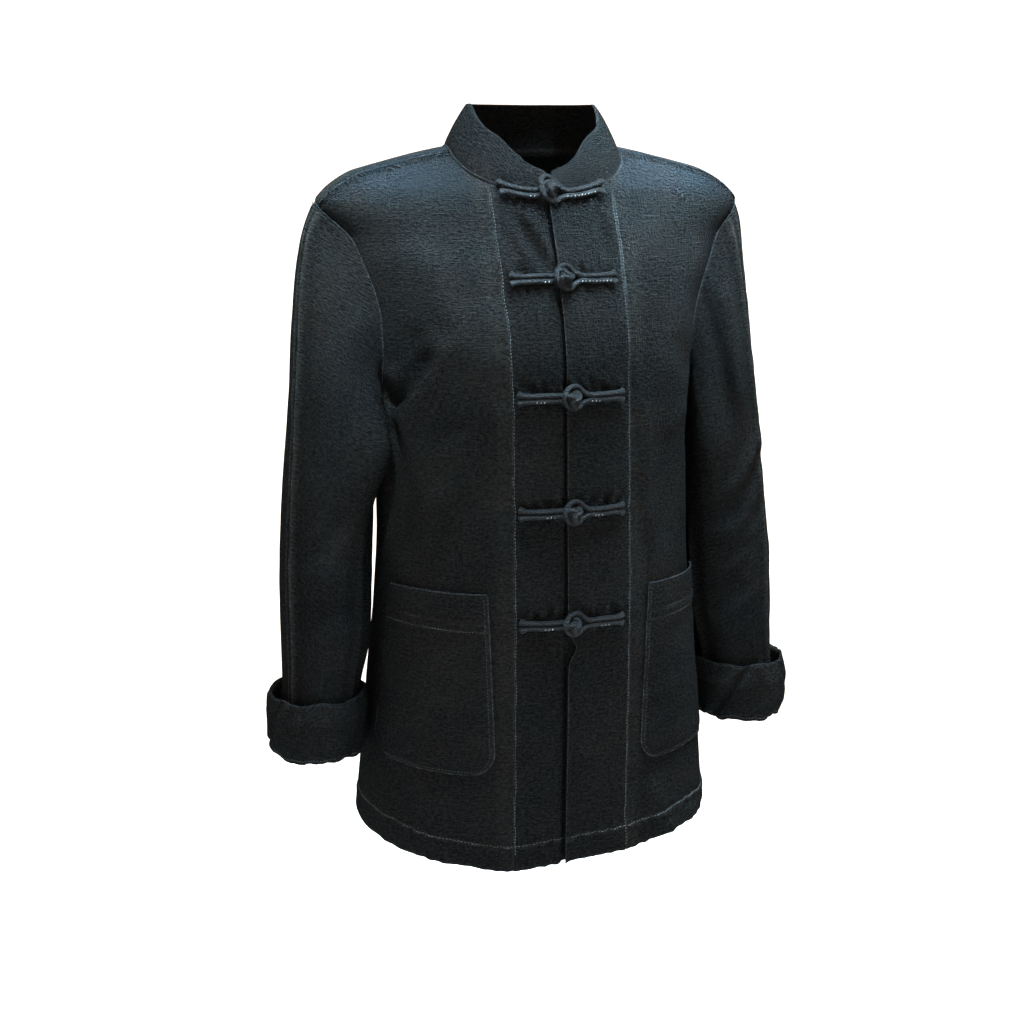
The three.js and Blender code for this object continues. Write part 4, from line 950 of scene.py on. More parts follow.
def eased_path(knots, count):
    """Even points on a Catmull-Rom curve through rows of numbers: each piece is a cubic whose slope
    at a row is half the step between its neighbours."""
    knots = np.asarray(knots, float)
    padded = np.concatenate([[2 * knots[0] - knots[1]], knots, [2 * knots[-1] - knots[-2]]])
    s = np.linspace(0, len(knots) - 1 - 1e-6, count * 4)
    i = s.astype(int)
    t = (s - i)[:, None]
    a, b, c, d = padded[i], padded[i + 1], padded[i + 2], padded[i + 3]
    line = 0.5 * (2 * b + (c - a) * t + (2 * a - 5 * b + 4 * c - d) * t * t
                  + (3 * b - a - 3 * c + d) * t ** 3)
    run = run_along(line[:, :3])
    even = np.linspace(0, run[-1], count)
    return np.stack([np.interp(even, run, line[:, k]) for k in range(line.shape[1])], 1)


def cord_parts(path, up, width, height, closed=False, sides=CORD_SIDES):
    """Points, faces and UV of a round cord: centre + side * width * cos + up * height * sin. Each
    end of an open cord is closed by a fan, whose faces name their last point twice."""
    n = len(path)
    along = unit(np.roll(path, -1, 0) - np.roll(path, 1, 0) if closed else np.gradient(path, axis=0))
    side = unit(np.cross(along, up))
    up = np.cross(side, along)
    angle = np.arange(sides) / sides * 2 * math.pi
    width, height = [np.broadcast_to(size, n)[:, None, None] for size in (width, height)]
    ring = (path[:, None] + side[:, None] * width * np.cos(angle)[:, None]
            + up[:, None] * height * np.sin(angle)[:, None])
    i, j = np.meshgrid(np.arange(n if closed else n - 1), np.arange(sides), indexing="ij")
    i, j = i.ravel(), j.ravel()
    k, m = (i + 1) % n, (j + 1) % sides
    faces = np.stack([i * sides + j, i * sides + m, k * sides + m, k * sides + j], 1)
    run = run_along(np.concatenate([path, path[:1]]))
    round_it = np.arange(sides + 1) / sides * 2 * math.pi * float(np.mean(width))
    uv = np.stack([np.stack([round_it[a], run[b]], -1)
                   for a, b in ((j, i), (j + 1, i), (j + 1, i + 1), (j, i + 1))], 1)
    points = ring.reshape(-1, 3)
    if not closed:
        here, after = np.arange(sides), (np.arange(sides) + 1) % sides
        for end, first, second in ((0, after, here), (n - 1, here, after)):
            middle = np.full(sides, len(points))
            points = np.concatenate([points, path[end:end + 1]])
            fan = np.stack([end * sides + first, end * sides + second, middle, middle], 1)
            faces = np.concatenate([faces, fan])
            uv = np.concatenate([uv, np.full((sides, 4, 2), run[end])])
    return points, faces, uv


def tapered(run, radius):
    """Share of full thickness along a cord: a quarter round over its last radius at both ends."""
    near = np.clip(np.minimum(run, run[-1] - run) / radius, 0, 1)
    return np.sqrt(1 - (1 - near) ** 2) * 0.97 + 0.03


def joined(name, parts):
    """One piece of several parts. Faces whose last two corners are one point become triangles."""
    points, faces, uvs, shift = [], [], [], 0
    for p, f, uv in parts:
        points.append(p)
        faces.append(f + shift)
        uvs.append(uv)
        shift += len(p)
    points, faces, uvs = np.concatenate(points), np.concatenate(faces), np.concatenate(uvs)
    tri = faces[:, 2] == faces[:, 3]
    mesh = bpy.data.meshes.new(name)
    mesh.from_pydata((points * MM).tolist(), [], faces[~tri].tolist() + faces[tri, :3].tolist())
    corner_uv = np.concatenate([uvs[~tri].reshape(-1, 2), uvs[tri, :3].reshape(-1, 2)])
    mesh.uv_layers.new(name="UVMap").data.foreach_set("uv", (corner_uv * MM).astype(np.float32).ravel())
    mesh.shade_smooth()
    return placed(name, mesh)


print("sides of a cord:", CORD_SIDES)

# %% Where each closure sits
# shift across, rise and lift from the cloth; only the top one, at the collar, differs from nought
FROG_X, FROG_RISE, FROG_LIFT = [np.array([top, 0, 0, 0, 0]) for top in (-3, 2.5, 1)]
STANDOFF, KNOT_RADIUS, FROG_SINK = 0.5, 7.2, 0.2
LEG_HEIGHT = 3.2             # the cords' middle over the cloth


def frog_place(k, a, b, h):
    """Point and facing for a place on closure k: a across from the knot, b up, h out from the cloth."""
    x = FROG_X[k] + a
    far = smooth((np.abs(a) - 5) / 12)
    z = FROG_Z[k] + mix(FROG_RISE[k], frog_height(k, x) - FROG_Z[k], far) + b
    return body_point(x, z, "front", h + FROG_LIFT[k] - FROG_SINK)


print("knots stand", KNOT_RADIUS + STANDOFF, "mm over the cloth at their middle")

# %% Button legs
CORD_WIDE, CORD_THICK, CORD_END = 2.5, 2.3, 1.6
FLARE, FLARE_WIDER, FLARE_THINNER = 9, 0.32, 0.25      # the outer ends spread over this length
APART, APART_END = 2.4, 4.7                            # half the distance between the two cords


def frog_cord(k, rows, count, seed, flare_from_start):
    """Parts of a cord of closure k through rows of (across, up, out): a little uneven, rounded at
    its ends, and wider and flatter where it is sewn down at its outer end or ends."""
    path = eased_path(rows, count)
    point, up = frog_place(k, path[:, 0], path[:, 1], path[:, 2])
    run = run_along(point)
    size = tapered(run, CORD_END) * (1 + 0.05 * ripple(run / 9, run / 3, seed))
    from_end = np.minimum(run, run[-1] - run) if flare_from_start else run[-1] - run
    flat = 1 - smooth(from_end / FLARE)
    return cord_parts(point, up, CORD_WIDE * size * (1 + FLARE_WIDER * flat),
                      CORD_THICK * size * (1 - FLARE_THINNER * flat))


# small sways of each closure's cords, and the turn and tilt of its knot
draws = [np.random.RandomState(100 + k) for k in range(len(FROG_Z))]
sways = [draw.uniform(-0.7, 0.7, 4) for draw in draws]
for k, sway in enumerate(sways):
    legs = []
    reach, low = -(LEG_END + FROG_X[k]), LEG_HEIGHT - 0.2
    for way in (1, -1):
        rows = [(-5.5, 1.3 * way, LEG_HEIGHT + 1.6), (-10, 2.1 * way, LEG_HEIGHT + 0.4),
                (-15, APART * way + 0.5 * sway[0], low), (-27, APART * way + 0.8 * sway[1], low),
                (reach + FLARE, 2.5 * way + 0.6 * sway[2], low),
                (reach + 3.5, 3.4 * way, low - 0.1), (reach + 0.2, APART_END * way, low - 0.7)]
        legs.append(frog_cord(k, rows, 90, 110 + 2 * k + way, False))
    pieces[f"button_leg_{k + 1}"] = joined(f"frog_{k + 1}_button_cords", legs)
print("button legs:", len(sways) * 2)

# %% Knots
PLAIT_TURNS, PLAIT_BIGHTS, PLAIT_STEPS = 2, 3, 260
PLAIT_RADIUS, PLAIT_DEPTH, CORE_RADIUS = 5.7, 1.1, 5.7
PLAIT_WIDE, PLAIT_THICK = 2.35, 2.2
KNOT_ASIDE, KNOT_DOWN = -0.9, -0.7


def plait():
    """A closed plait on a ball: the path goes round twice while its angle from the pole swings three
    times, and it dips under and over itself twice in each swing."""
    t = np.linspace(0, 2 * math.pi, PLAIT_STEPS, endpoint=False)
    pole = np.radians(64) + np.radians(50) * np.cos(PLAIT_BIGHTS * t)
    radius = PLAIT_RADIUS + PLAIT_DEPTH * np.sin(PLAIT_BIGHTS * t)
    around = PLAIT_TURNS * t
    return np.stack([radius * np.sin(pole) * np.cos(around), radius * np.sin(pole) * np.sin(around),
                     radius * np.cos(pole)], 1)


def ball(radius, rings=10):
    """A plain ball that fills the plait's middle, as rings between two poles."""
    pole = np.linspace(0.02, math.pi - 0.02, rings)
    path = np.stack([0 * pole, 0 * pole, -radius * np.cos(pole)], 1)
    up = np.tile([1.0, 0, 0], (rings, 1))
    return cord_parts(path, up, radius * np.sin(pole), radius * np.sin(pole))


def knot_axes(up, draw):
    """Three square directions for a knot: its pole leans a little from the cloth's own facing."""
    side = unit(np.cross(up, [0, 0, 1.0]))
    turn = draw.uniform(0, 2 * math.pi)
    tip = unit(up + side * draw.uniform(-0.25, 0.25) + np.cross(side, up) * draw.uniform(-0.1, 0.35))
    side = unit(np.cross(tip, [0, 0, 1.0]))
    other = np.cross(side, tip)
    return np.stack([side * math.cos(turn) + other * math.sin(turn),
                     other * math.cos(turn) - side * math.sin(turn), tip])


for k, draw in enumerate(draws):
    centre, up = frog_place(k, *[np.array([v]) for v in (KNOT_ASIDE, KNOT_DOWN, STANDOFF + KNOT_RADIUS)])
    axes = knot_axes(up[0], draw)
    strand = plait()
    points, faces, uv = ball(CORE_RADIUS)
    pieces[f"knot_{k + 1}"] = joined(f"frog_{k + 1}_knot", [
        cord_parts(strand @ axes + centre, unit(strand) @ axes, PLAIT_WIDE, PLAIT_THICK, closed=True),
        (points @ axes + centre, faces, uv)])
print("knots:", len(draws))

# %% Loops
RING_X, RING_Z, RING_RADIUS, RING_LIFT, RING_RISE = 0.8, 0.4, 9.8, 5.0, math.tan(math.radians(20))
RING_GAP = 38                # degrees each side where the ring is open towards its two cords
for k, sway in enumerate(sways):
    reach, low = LEG_END - FROG_X[k], LEG_HEIGHT - 0.2
    angle = np.radians(np.linspace(RING_GAP, 360 - RING_GAP, 13))
    ring = np.stack([RING_X + RING_RADIUS * np.cos(angle), RING_Z + RING_RADIUS * np.sin(angle),
                     RING_LIFT - RING_RISE * RING_RADIUS * np.cos(angle)], 1)
    out_rows = [(reach - 0.2, APART_END, low - 0.7), (reach - 3.5, 3.4, low - 0.1),
                (reach - FLARE, 2.5 + 0.6 * sway[3], low), (27, APART + 0.8 * sway[2], low),
                (15.5, 2.3, low)]
    back_rows = [(a, b - (2 * APART if 16 < a < reach - 5 else 2 * b), h) for a, b, h in out_rows[::-1]]
    rows = np.concatenate([out_rows, ring, back_rows])
    pieces[f"loop_{k + 1}"] = joined(f"frog_{k + 1}_loop", [frog_cord(k, rows, 260, 140 + k, True)])
print("closures:", len(FROG_Z))

# %% [markdown]
# ## Stitches
# Thread lies on the cloth as a row of short beads, sunk a little at both ends. One bead of a few
# faces is worked out once and laid at even steps along each line of sewing, with small random
# differences in length and angle, because worn stitching is never ruled.

# %% Stitch maker
BEAD_RINGS, BEAD_SIDES = 3, 6


def bead():
    """Unit bead along x: rings at even angles between two poles."""
    pole = np.linspace(0, math.pi, BEAD_RINGS + 2)[1:-1]
    angle = np.arange(BEAD_SIDES) / BEAD_SIDES * 2 * math.pi
    ring = np.stack([np.cos(pole)[:, None] + 0 * angle, np.sin(pole)[:, None] * np.cos(angle),
                     np.sin(pole)[:, None] * np.sin(angle)], -1).reshape(-1, 3)
    points = np.concatenate([ring, [[1, 0, 0], [-1, 0, 0]]])
    j = np.arange(BEAD_SIDES)
    k = (j + 1) % BEAD_SIDES
    faces = []
    for i in range(BEAD_RINGS - 1):
        a, b = i * BEAD_SIDES, (i + 1) * BEAD_SIDES
        faces.append(np.stack([a + j, b + j, b + k, a + k], 1))
    head, tail = np.full(BEAD_SIDES, len(ring)), np.full(BEAD_SIDES, len(ring) + 1)
    last = (BEAD_RINGS - 1) * BEAD_SIDES
    faces.append(np.stack([j, k, head, head], 1))
    faces.append(np.stack([last + k, last + j, tail, tail], 1))
    return points, np.concatenate(faces)


BEAD_POINTS, BEAD_FACES = bead()
print("faces of a bead:", len(BEAD_FACES))

# %% Rows of stitches
THREAD, FINE_THREAD = 0.3, 0.165
STEP_SHAKE, LEAN_SHAKE, SUNK_ENDS, FLATNESS = 0.05, 0.06, 0.5, 0.8


def interpolated(table, run, places):
    """Rows of a table of three columns at given distances along its line."""
    return np.stack([np.interp(places, run, table[:, k]) for k in range(3)], 1)


def stitch_row(line, up, pitch, length, thick, seed, slant=0.0):
    """Beads at even steps along a line: each is turned to run along it, leaned by slant and shaken."""
    draw = np.random.RandomState(seed)
    run = run_along(line)
    s = np.arange(pitch / 2, run[-1], pitch)
    s = s + draw.normal(0, STEP_SHAKE * pitch, len(s))
    centre, out = interpolated(line, run, s), interpolated(up, run, s)
    along = unit(interpolated(line, run, s + 0.3) - interpolated(line, run, s - 0.3))
    side = np.cross(out, along)
    lean = slant + draw.normal(0, LEAN_SHAKE, len(s))[:, None]
    along = along * np.cos(lean) + side * np.sin(lean)
    side = np.cross(out, along)
    half = length / 2 * draw.uniform(0.85, 1.1, len(s))[:, None, None]
    p = BEAD_POINTS[None]
    dip = -SUNK_ENDS * thick * p[..., :1] ** 2
    points = (centre[:, None] + along[:, None] * p[..., :1] * half + side[:, None] * p[..., 1:2] * thick
              + out[:, None] * (p[..., 2:] * thick * FLATNESS + dip))
    faces = BEAD_FACES[None] + (np.arange(len(s)) * len(BEAD_POINTS))[:, None, None]
    return points.reshape(-1, 3), faces.reshape(-1, 4), np.zeros((faces.size // 4, 4, 2))


# %% Stitching of bands, fronts and hems
BAND_STITCH, HEM_STITCH = (3.1, 2.2, THREAD), (3.6, 2.5, THREAD)     # pitch, length and thickness
TOP_Z = {-1: -40, 1: -46}
SECOND_ROW_POINTS = 130      # a second row runs beside the left band only near the neck
stitching = {node: [] for node in ("front_right", "front_left", "band_right", "band_left", "back")}


def hem_line(face, start, end, count, lift, above=0.0):
    """Points and facings along the hem's stitching between two places across, or just above it."""
    x = np.linspace(start, end, count)
    return cloth(x, hem_height(x) + HEM_TURN + above, face, lift)


for name, side in SIDES:
    z = np.linspace(TOP_Z[side], -657, 900)
    for row, off in enumerate((-1.0, 1.6) if side > 0 else (-1.2,)):
        line, up = cloth(side * (band_seam(side, z) + off), z, "front", 0.12)
        keep = slice(SECOND_ROW_POINTS if row else None)
        stitching["front_" + name].append(stitch_row(line[keep], up[keep], *BAND_STITCH, 200 + row + side))
    seam, inner = band_seam(side, -650), -LAP_OVER + 2 if side > 0 else LAP_OVER + 2
    line, up = hem_line("front", side * (seam + 1), side * (HEM_X - 3), 300, 0.1)
    stitching["front_" + name].append(stitch_row(line, up, *HEM_STITCH, 210 + side))
    line, up = hem_line("front", side * inner, side * (seam - 1), 200, 0.1)
    stitching["band_" + name].append(stitch_row(line, up, *HEM_STITCH, 220 + side))
line, up = hem_line("back", 3 - HEM_X, HEM_X - 3, 700, 0.1)
stitching["back"].append(stitch_row(line, up, *HEM_STITCH, 230))
print("hem and band rows:", sum(len(rows) for rows in stitching.values()))

# %% Stitching of pockets and cuffs
MOUTH_STITCH, EDGE_STITCH, CUFF_STITCH = (3.2, 2.3, THREAD), (3.2, 2.0, FINE_THREAD), (3.0, 2.1, THREAD)
EDGE_INSET = 0.028           # share of the pocket's width between its edge and the stitching
for name, side in SIDES:
    across, down = np.linspace(0.03, 0.97, 200), np.linspace(0.02, 0.985, 300)
    rows = []
    for row, top in enumerate(MOUTH_ROWS):
        line, up = pocket_point(side, across, np.full(200, top / POCKET_HEIGHT), 0.12)
        rows.append(stitch_row(line, up, *MOUTH_STITCH, 240 + row + side))
    for shift, edge in enumerate((EDGE_INSET, 1 - EDGE_INSET)):
        line, up = pocket_point(side, np.full(300, edge), down, 0.1)
        rows.append(stitch_row(line, up, *EDGE_STITCH, 250 + shift + side))
    line, up = pocket_point(side, across, np.full(200, 1 - 2.6 / POCKET_HEIGHT), 0.1)
    rows.append(stitch_row(line, up, *EDGE_STITCH, 260 + side))
    stitching["pocket_" + name] = rows
    turn = np.linspace(0, 2 * math.pi, 600)
    line = cuff_point(side, np.full(600, CUFF_STITCH_RUN), turn, 0.15)
    up = np.stack([side * np.cos(turn), -np.sin(turn), 0 * turn], 1)
    stitching["cuff_" + name] = [stitch_row(line, up, *CUFF_STITCH, 270 + side)]
print("pocket and cuff rows:", [len(stitching[node + "_right"]) for node in ("pocket", "cuff")])

# %% Stitches that hold the closures' cords
CORD_STITCH, CORD_SLANT = (3.4, 2.5, THREAD), 1.0
FIRST_AT, STITCH_REACH, LAST_AT = 14, 1.25, 44
UPPER_CLOSURES = 2           # the two upper closures show more of their stitches
for k in range(len(FROG_Z)):
    upper = k < UPPER_CLOSURES
    for side, count in ((-1, 6 if upper else 9), (1, 26 if upper else 9)):
        draw = np.random.RandomState(300 + 2 * k + side)
        first = FIRST_AT if upper else FIRST_AT + draw.uniform(0, 14)
        across = side * np.linspace(first, min(first + count * STITCH_REACH, LAST_AT), 60)
        line, up = frog_place(k, across, np.full(60, -3.2), np.full(60, LEG_HEIGHT + 1.9))
        node = f"loop_{k + 1}" if side > 0 else f"button_leg_{k + 1}"
        stitching[node] = [stitch_row(line, up, *CORD_STITCH, 310 + 2 * k + side, CORD_SLANT)]
print("rows of stitches:", sum(len(rows) for rows in stitching.values()))

# %% [markdown]
# ## Rolled seam edges
# Under each seam its turnings make a thin ridge, and washing rubs that ridge pale. A thin uneven
# cord half sunk in the cloth shows both: it stands up a little and it has its own paler linen,
# partly worn cloth and partly painted highlight, along seams, pressed creases and the lap's edge.

# %% Ridge maker
ROLL_SUNK, ROLL_SIDES = 0.25, 6


def seam_roll(line, up, radius, seed, uneven=0.25):
    """The ridge of a seam: a cord of uneven thickness, radius * (1 + uneven * wave)."""
    run = run_along(line)
    size = radius * np.maximum(1 + uneven * ripple(run / 14, 0 * run, 400 + seed), 0.05)
    return cord_parts(line - ROLL_SUNK * radius * up, up, size, size * 0.9, sides=ROLL_SIDES)


def along_sleeve(side, shift):
    """The line down a sleeve's pressed crease, moved round it by a shift in millimetres."""
    grid, out = sleeve_grids[side]
    near = int(CREASE_TURN[side](-300) / (2 * math.pi) * TURN_STEPS)
    column = (CREASE_TURN[side](grid[:, near, 2]) + shift / ARM_RADIUS) / (2 * math.pi) * TURN_STEPS
    low, row = column.astype(int), np.arange(len(grid))
    share = (column - low)[:, None]
    return [mix(table[row, low], table[row, low + 1], share) for table in (grid, out)]


print("a sleeve's crease has", len(along_sleeve(1, 0)[0]), "points")

# %% Ridges of all seams
HEM_RIDGE, SHOULDER_RIDGE, ARMHOLE_RIDGE, BAND_RIDGE = 0.32, 0.46, 0.6, 0.4
POCKET_RIDGE, MOUTH_RIDGE, ROW_RIDGE, COLLAR_RIDGE = 0.72, 0.70, 0.45, 0.6
CREASE_RIDGES = ((0, 0.42), (-CREASE_GAP, 0.34))     # shift round the sleeve, and radius
RIDGE_OVER_HEM = 0.8
rolls = {"band_edge": [seam_roll(lap_line, np.tile([0.0, -1, 0], (BAND_ROWS, 1)), BAND_RIDGE, 12)]}
for name, side in SIDES:
    inner = -LAP_OVER if side > 0 else LAP_OVER + 1
    line, up = hem_line("front", side * inner, side * (HEM_X - 2), 220, 0.0, RIDGE_OVER_HEM)
    rolls["front_" + name] = [seam_roll(line, up, HEM_RIDGE, 3 + side, 0.9)]
    x = side * np.linspace(NECK_X + 1, TIP_X - 2, 160)
    line, up = cloth(x, shoulder_height(np.abs(x)) - 4.8, "front", 0.2)
    rolls["front_" + name].append(seam_roll(line, up, SHOULDER_RIDGE, 14 + side, 0.5))
    rolls["sleeve_" + name] = []
    for face in ("front", "back"):
        z = np.linspace(TIP_Z - 0.2, UNDERARM_Z + 1, 200)
        line, up = cloth(side * (armhole_x(z, face) - 0.2), z, face, 0.5 + 1.2 * bell(z + 75, 30))
        line[:, 1] += 0.4 * np.sign(line[:, 1] - SIDE_Y)
        rolls["sleeve_" + name].append(seam_roll(line, up, ARMHOLE_RIDGE, 11 + side))
    for shift, radius in CREASE_RIDGES:
        line, up = along_sleeve(side, shift)
        rolls["sleeve_" + name].append(seam_roll(line[5:-9], up[5:-9], radius, 21 + side, 0.6))
    z = np.linspace(neck_height(BAND_X, FRONT_DROP) - 1, hem_height(side * BAND_X) + 2, 360)
    line, up = cloth(side * (band_seam(side, z) + 0.2), z, "front", 0.1)
    rolls["band_" + name] = [seam_roll(line, up, BAND_RIDGE, 1 + side)]
    down, across, same = np.linspace(0.01, 0.999, 160), np.linspace(0, 1, 120), np.ones(120)
    lines = [(*pocket_point(side, np.full(160, edge), down, -0.35), POCKET_RIDGE, 5 + int(edge))
             for edge in (0.0, 1.0)]
    lines.append((*pocket_point(side, across, same, -0.35), POCKET_RIDGE, 7))
    lines.append((*pocket_point(side, across, 0 * same, -0.3), MOUTH_RIDGE, 8))
    for top in MOUTH_ROWS:
        lines.append((*pocket_point(side, across, same * top / POCKET_HEIGHT, -0.1), ROW_RIDGE, int(top)))
    rolls["pocket_" + name] = [seam_roll(*each) for each in lines]
rolls["collar"] = [seam_roll(neck_line + neck_out * 0.7 + [0, 0, 0.5], neck_out, COLLAR_RIDGE, 9)]
line, up = hem_line("back", 2 - HEM_X, HEM_X - 2, 420, 0.0, RIDGE_OVER_HEM)
rolls["back"] = [seam_roll(line, up, HEM_RIDGE, 10, 0.9)]
print("ridges:", sum(len(parts) for parts in rolls.values()))
rolls = {node: joined("seam_edge_" + node, parts) for node, parts in rolls.items()}
threads = {node: joined("stitches_" + node, rows) for node, rows in stitching.items()}

# %% [markdown]
# ## Materials
# Washed linen is a plain weave of uneven threads: thick places, called slubs, run along single
# threads both ways. Washing clouds the dye and rubs it pale on folds and seam edges, and that pale
# is also a painted highlight on them; the crinkle's tone is painted shade in its hollows and painted
# highlight on its ridges. The weave reads each piece's UV map, which is in metres, so that it
# follows the grain; the clouding reads the object's own space.

# %% Shader expressions
class Wire:
    """A socket that can be used in sums: each operator adds one Math node."""
    def __init__(self, shader, socket):
        self.shader, self.socket = shader, socket

    def _math(self, operation, a, b):
        return self.shader.node("ShaderNodeMath", {"operation": operation}, {0: a, 1: b})

    def __add__(self, other): return self._math("ADD", self, other)
    def __radd__(self, other): return self._math("ADD", other, self)
    def __sub__(self, other): return self._math("SUBTRACT", self, other)
    def __rsub__(self, other): return self._math("SUBTRACT", other, self)
    def __mul__(self, other): return self._math("MULTIPLY", self, other)
    def __rmul__(self, other): return self._math("MULTIPLY", other, self)

    def clamped(self):
        """The same number, kept between 0 and 1."""
        return self.shader.node("ShaderNodeClamp", {}, {"Value": self})


class Shader:
    """A material and its one Principled node; every other node comes from node()."""
    def __init__(self, name, **constants):
        self.material = bpy.data.materials.new(name)
        self.material.use_nodes = True
        self.tree = self.material.node_tree
        self.surface = self.tree.nodes["Principled BSDF"]
        for key, value in constants.items():
            self.surface.inputs[key.replace("_", " ")].default_value = value

    def node(self, kind, settings, values, output=0):
        """Adds a node of a type with its settings, then fills its sockets with values or wires."""
        made = self.tree.nodes.new(kind)
        for key, value in settings.items():
            setattr(made, key, value)
        for key, value in values.items():
            if isinstance(value, Wire):
                self.tree.links.new(value.socket, made.inputs[key])
            else:
                made.inputs[key].default_value = value
        return Wire(self, made.outputs[output])

    def noise(self, place, scale, stretch=(1, 1, 1), detail=2.0, rough=0.5):
        """Noise of a place that is first stretched along each of its three directions."""
        at = self.node("ShaderNodeVectorMath", {"operation": "MULTIPLY"}, {0: place, 1: stretch})
        return self.node("ShaderNodeTexNoise", {}, {"Vector": at, "Scale": scale, "Detail": detail,
                                                    "Roughness": rough})

    def mix(self, share, a, b):
        """From colour a to colour b by a share."""
        return self.node("ShaderNodeMix", {"data_type": "RGBA"}, {0: share, 6: a, 7: b}, output=2)

    def into(self, name, wire):
        """Leads a wire into a socket of the Principled node."""
        self.tree.links.new(wire.socket, self.surface.inputs[name])

    def bump(self, height, distance):
        """Relief from a height between 0 and 1, of a depth in metres."""
        self.into("Normal", self.node("ShaderNodeBump", {}, {"Height": height, "Distance": distance}))

    def uv(self):
        """The piece's own UV map, in metres along its grain."""
        return self.node("ShaderNodeUVMap", {"uv_map": "UVMap"}, {})

    def place(self):
        """The place in the object's own space, in metres."""
        return self.node("ShaderNodeTexCoord", {}, {}, output=3)


print("helpers:", Wire.__name__, Shader.__name__)

# %% Linen
def linen(name, dark, pale, worn_and_highlit_share):
    """Washed linen. Its tone is a base plus slubs, warp, crepe, flecks, clouds and pale edges; the
    crepe's share is painted shade in its hollows and painted highlight on its ridges, and the pale
    edges are partly worn cloth and partly painted highlight. The pale threads lean warm or cool in
    patches, and the crepe and the slubs stand up as relief."""
    s = Shader(name, Roughness=0.9, Sheen_Weight=0.015, Sheen_Roughness=0.5,
               Sheen_Tint=(0.55, 0.78, 1.0, 1), Specular_IOR_Level=0.0)
    weave, place = s.uv(), s.place()
    worn_and_highlit = s.node("ShaderNodeAttribute", {"attribute_name": "worn_and_highlit"}, {}, output=2)
    slub = s.noise(weave, 1.0, (38, 850, 1))
    warp = s.noise(weave, 1.0, (800, 55, 1))
    crepe = s.noise(weave, 1.0, (250, 430, 1), 4, 0.66)
    fleck = s.noise(weave, 1.0, (520, 900, 1), 1)
    cloud = s.noise(place, 11.0, detail=4, rough=0.6)
    tint = s.noise(place, 26.0)
    lines = ((slub - 0.58) * 5).clamped()
    # The crepe term paints its hollows darker and its ridges paler: painted shade and highlight of its
    # relief.
    tone = (0.29 + 0.42 * lines + 0.3 * (warp - 0.5) + 1.9 * (crepe - 0.5) + 1.1 * (fleck - 0.5)
            + 0.55 * (cloud - 0.5) + worn_and_highlit_share * worn_and_highlit * (0.3 + crepe))
    warm, cool = [tuple(v * k for v, k in zip(pale, share)) for share in (WARM, COOL)]
    patches = s.mix(((tint - 0.2) * 1.7).clamped(), warm, cool)
    # The base colour's pale at seams, edges and creases is partly worn cloth and partly painted highlight.
    s.into("Base Color", s.mix(tone.clamped(), dark, patches))
    s.bump(1.1 * crepe + 0.35 * lines + 0.3 * warp + 0.35 * fleck, LINEN_DEPTH)
    return s.material


WARM, COOL, LINEN_DEPTH = (1.12, 0.95, 0.95, 1), (0.86, 1.0, 1.08, 1), 0.0230
body_linen = linen("washed_linen", (0.0016, 0.0015, 0.0012, 1), (0.0250, 0.0222, 0.0170, 1), 0.8)
# Paler linen of the seam ridges: partly worn cloth, partly painted highlight on seams, creases and the lap's
# edge.
worn_and_highlit_linen = linen("worn_and_highlit_linen_edge", (0.007, 0.0073, 0.007, 1), (0.085, 0.09, 0.088, 1), 0.0)
print("linens:", body_linen.name, worn_and_highlit_linen.name)

# %% Bias-cut cord
def cord_finish():
    """Linen cut on the bias: the same two threads at 45 degrees, with wrinkles across the cord that are
    painted darker in their hollows and paler on their ridges, as painted shade and highlight.
    """
    s = Shader("bias_cord", Roughness=0.5, Sheen_Weight=0.01, Sheen_Roughness=0.4,
               Sheen_Tint=(0.6, 0.78, 0.95, 1), Specular_IOR_Level=0.12)
    turned = s.node("ShaderNodeMapping", {}, {"Vector": s.uv(), "Rotation": (0, 0, math.radians(45))})
    threads_across = s.noise(turned, 1.0, (260, 1500, 1)), s.noise(turned, 1.0, (1500, 260, 1))
    cloud = s.noise(s.place(), 120.0)
    wrinkle = s.noise(turned, 1.0, (220, 620, 1), 3, 0.7)
    one, two = threads_across
    # The wrinkle term paints painted shade in the wrinkles' hollows and painted highlight on their ridges.
    tone = 0.42 + 0.7 * (one - 0.5) + 0.7 * (two - 0.5) + 0.8 * (cloud - 0.5) + 3.2 * (wrinkle - 0.5)
    s.into("Base Color", s.mix(tone.clamped(), (0.0008, 0.0009, 0.0008, 1), (0.0165, 0.0176, 0.0172, 1)))
    s.bump(0.6 * one + 0.6 * two + 0.8 * cloud + 2.6 * wrinkle, CORD_DEPTH)
    return s.material


CORD_DEPTH = 0.0110
bias_cord = cord_finish()
print("cord:", bias_cord.name)

# %% Thread
def thread(name, dark, pale):
    """Sewing thread: two tones clouded over its length."""
    s = Shader(name, Roughness=0.7, Specular_IOR_Level=0.1)
    s.into("Base Color", s.mix((1.6 * s.noise(s.place(), 90.0) - 0.3).clamped(), dark, pale))
    return s.material


seam_thread = thread("seam_thread", (0.012, 0.013, 0.013, 1), (0.125, 0.14, 0.14, 1))
pale_thread = thread("pale_thread", (0.05, 0.055, 0.055, 1), (0.45, 0.48, 0.48, 1))
print("threads:", seam_thread.name, pale_thread.name)

# %% [markdown]
# ## What each piece stands for
# Every piece rides on the one rigid body, stands for its plain solid, and names the finish it
# takes.

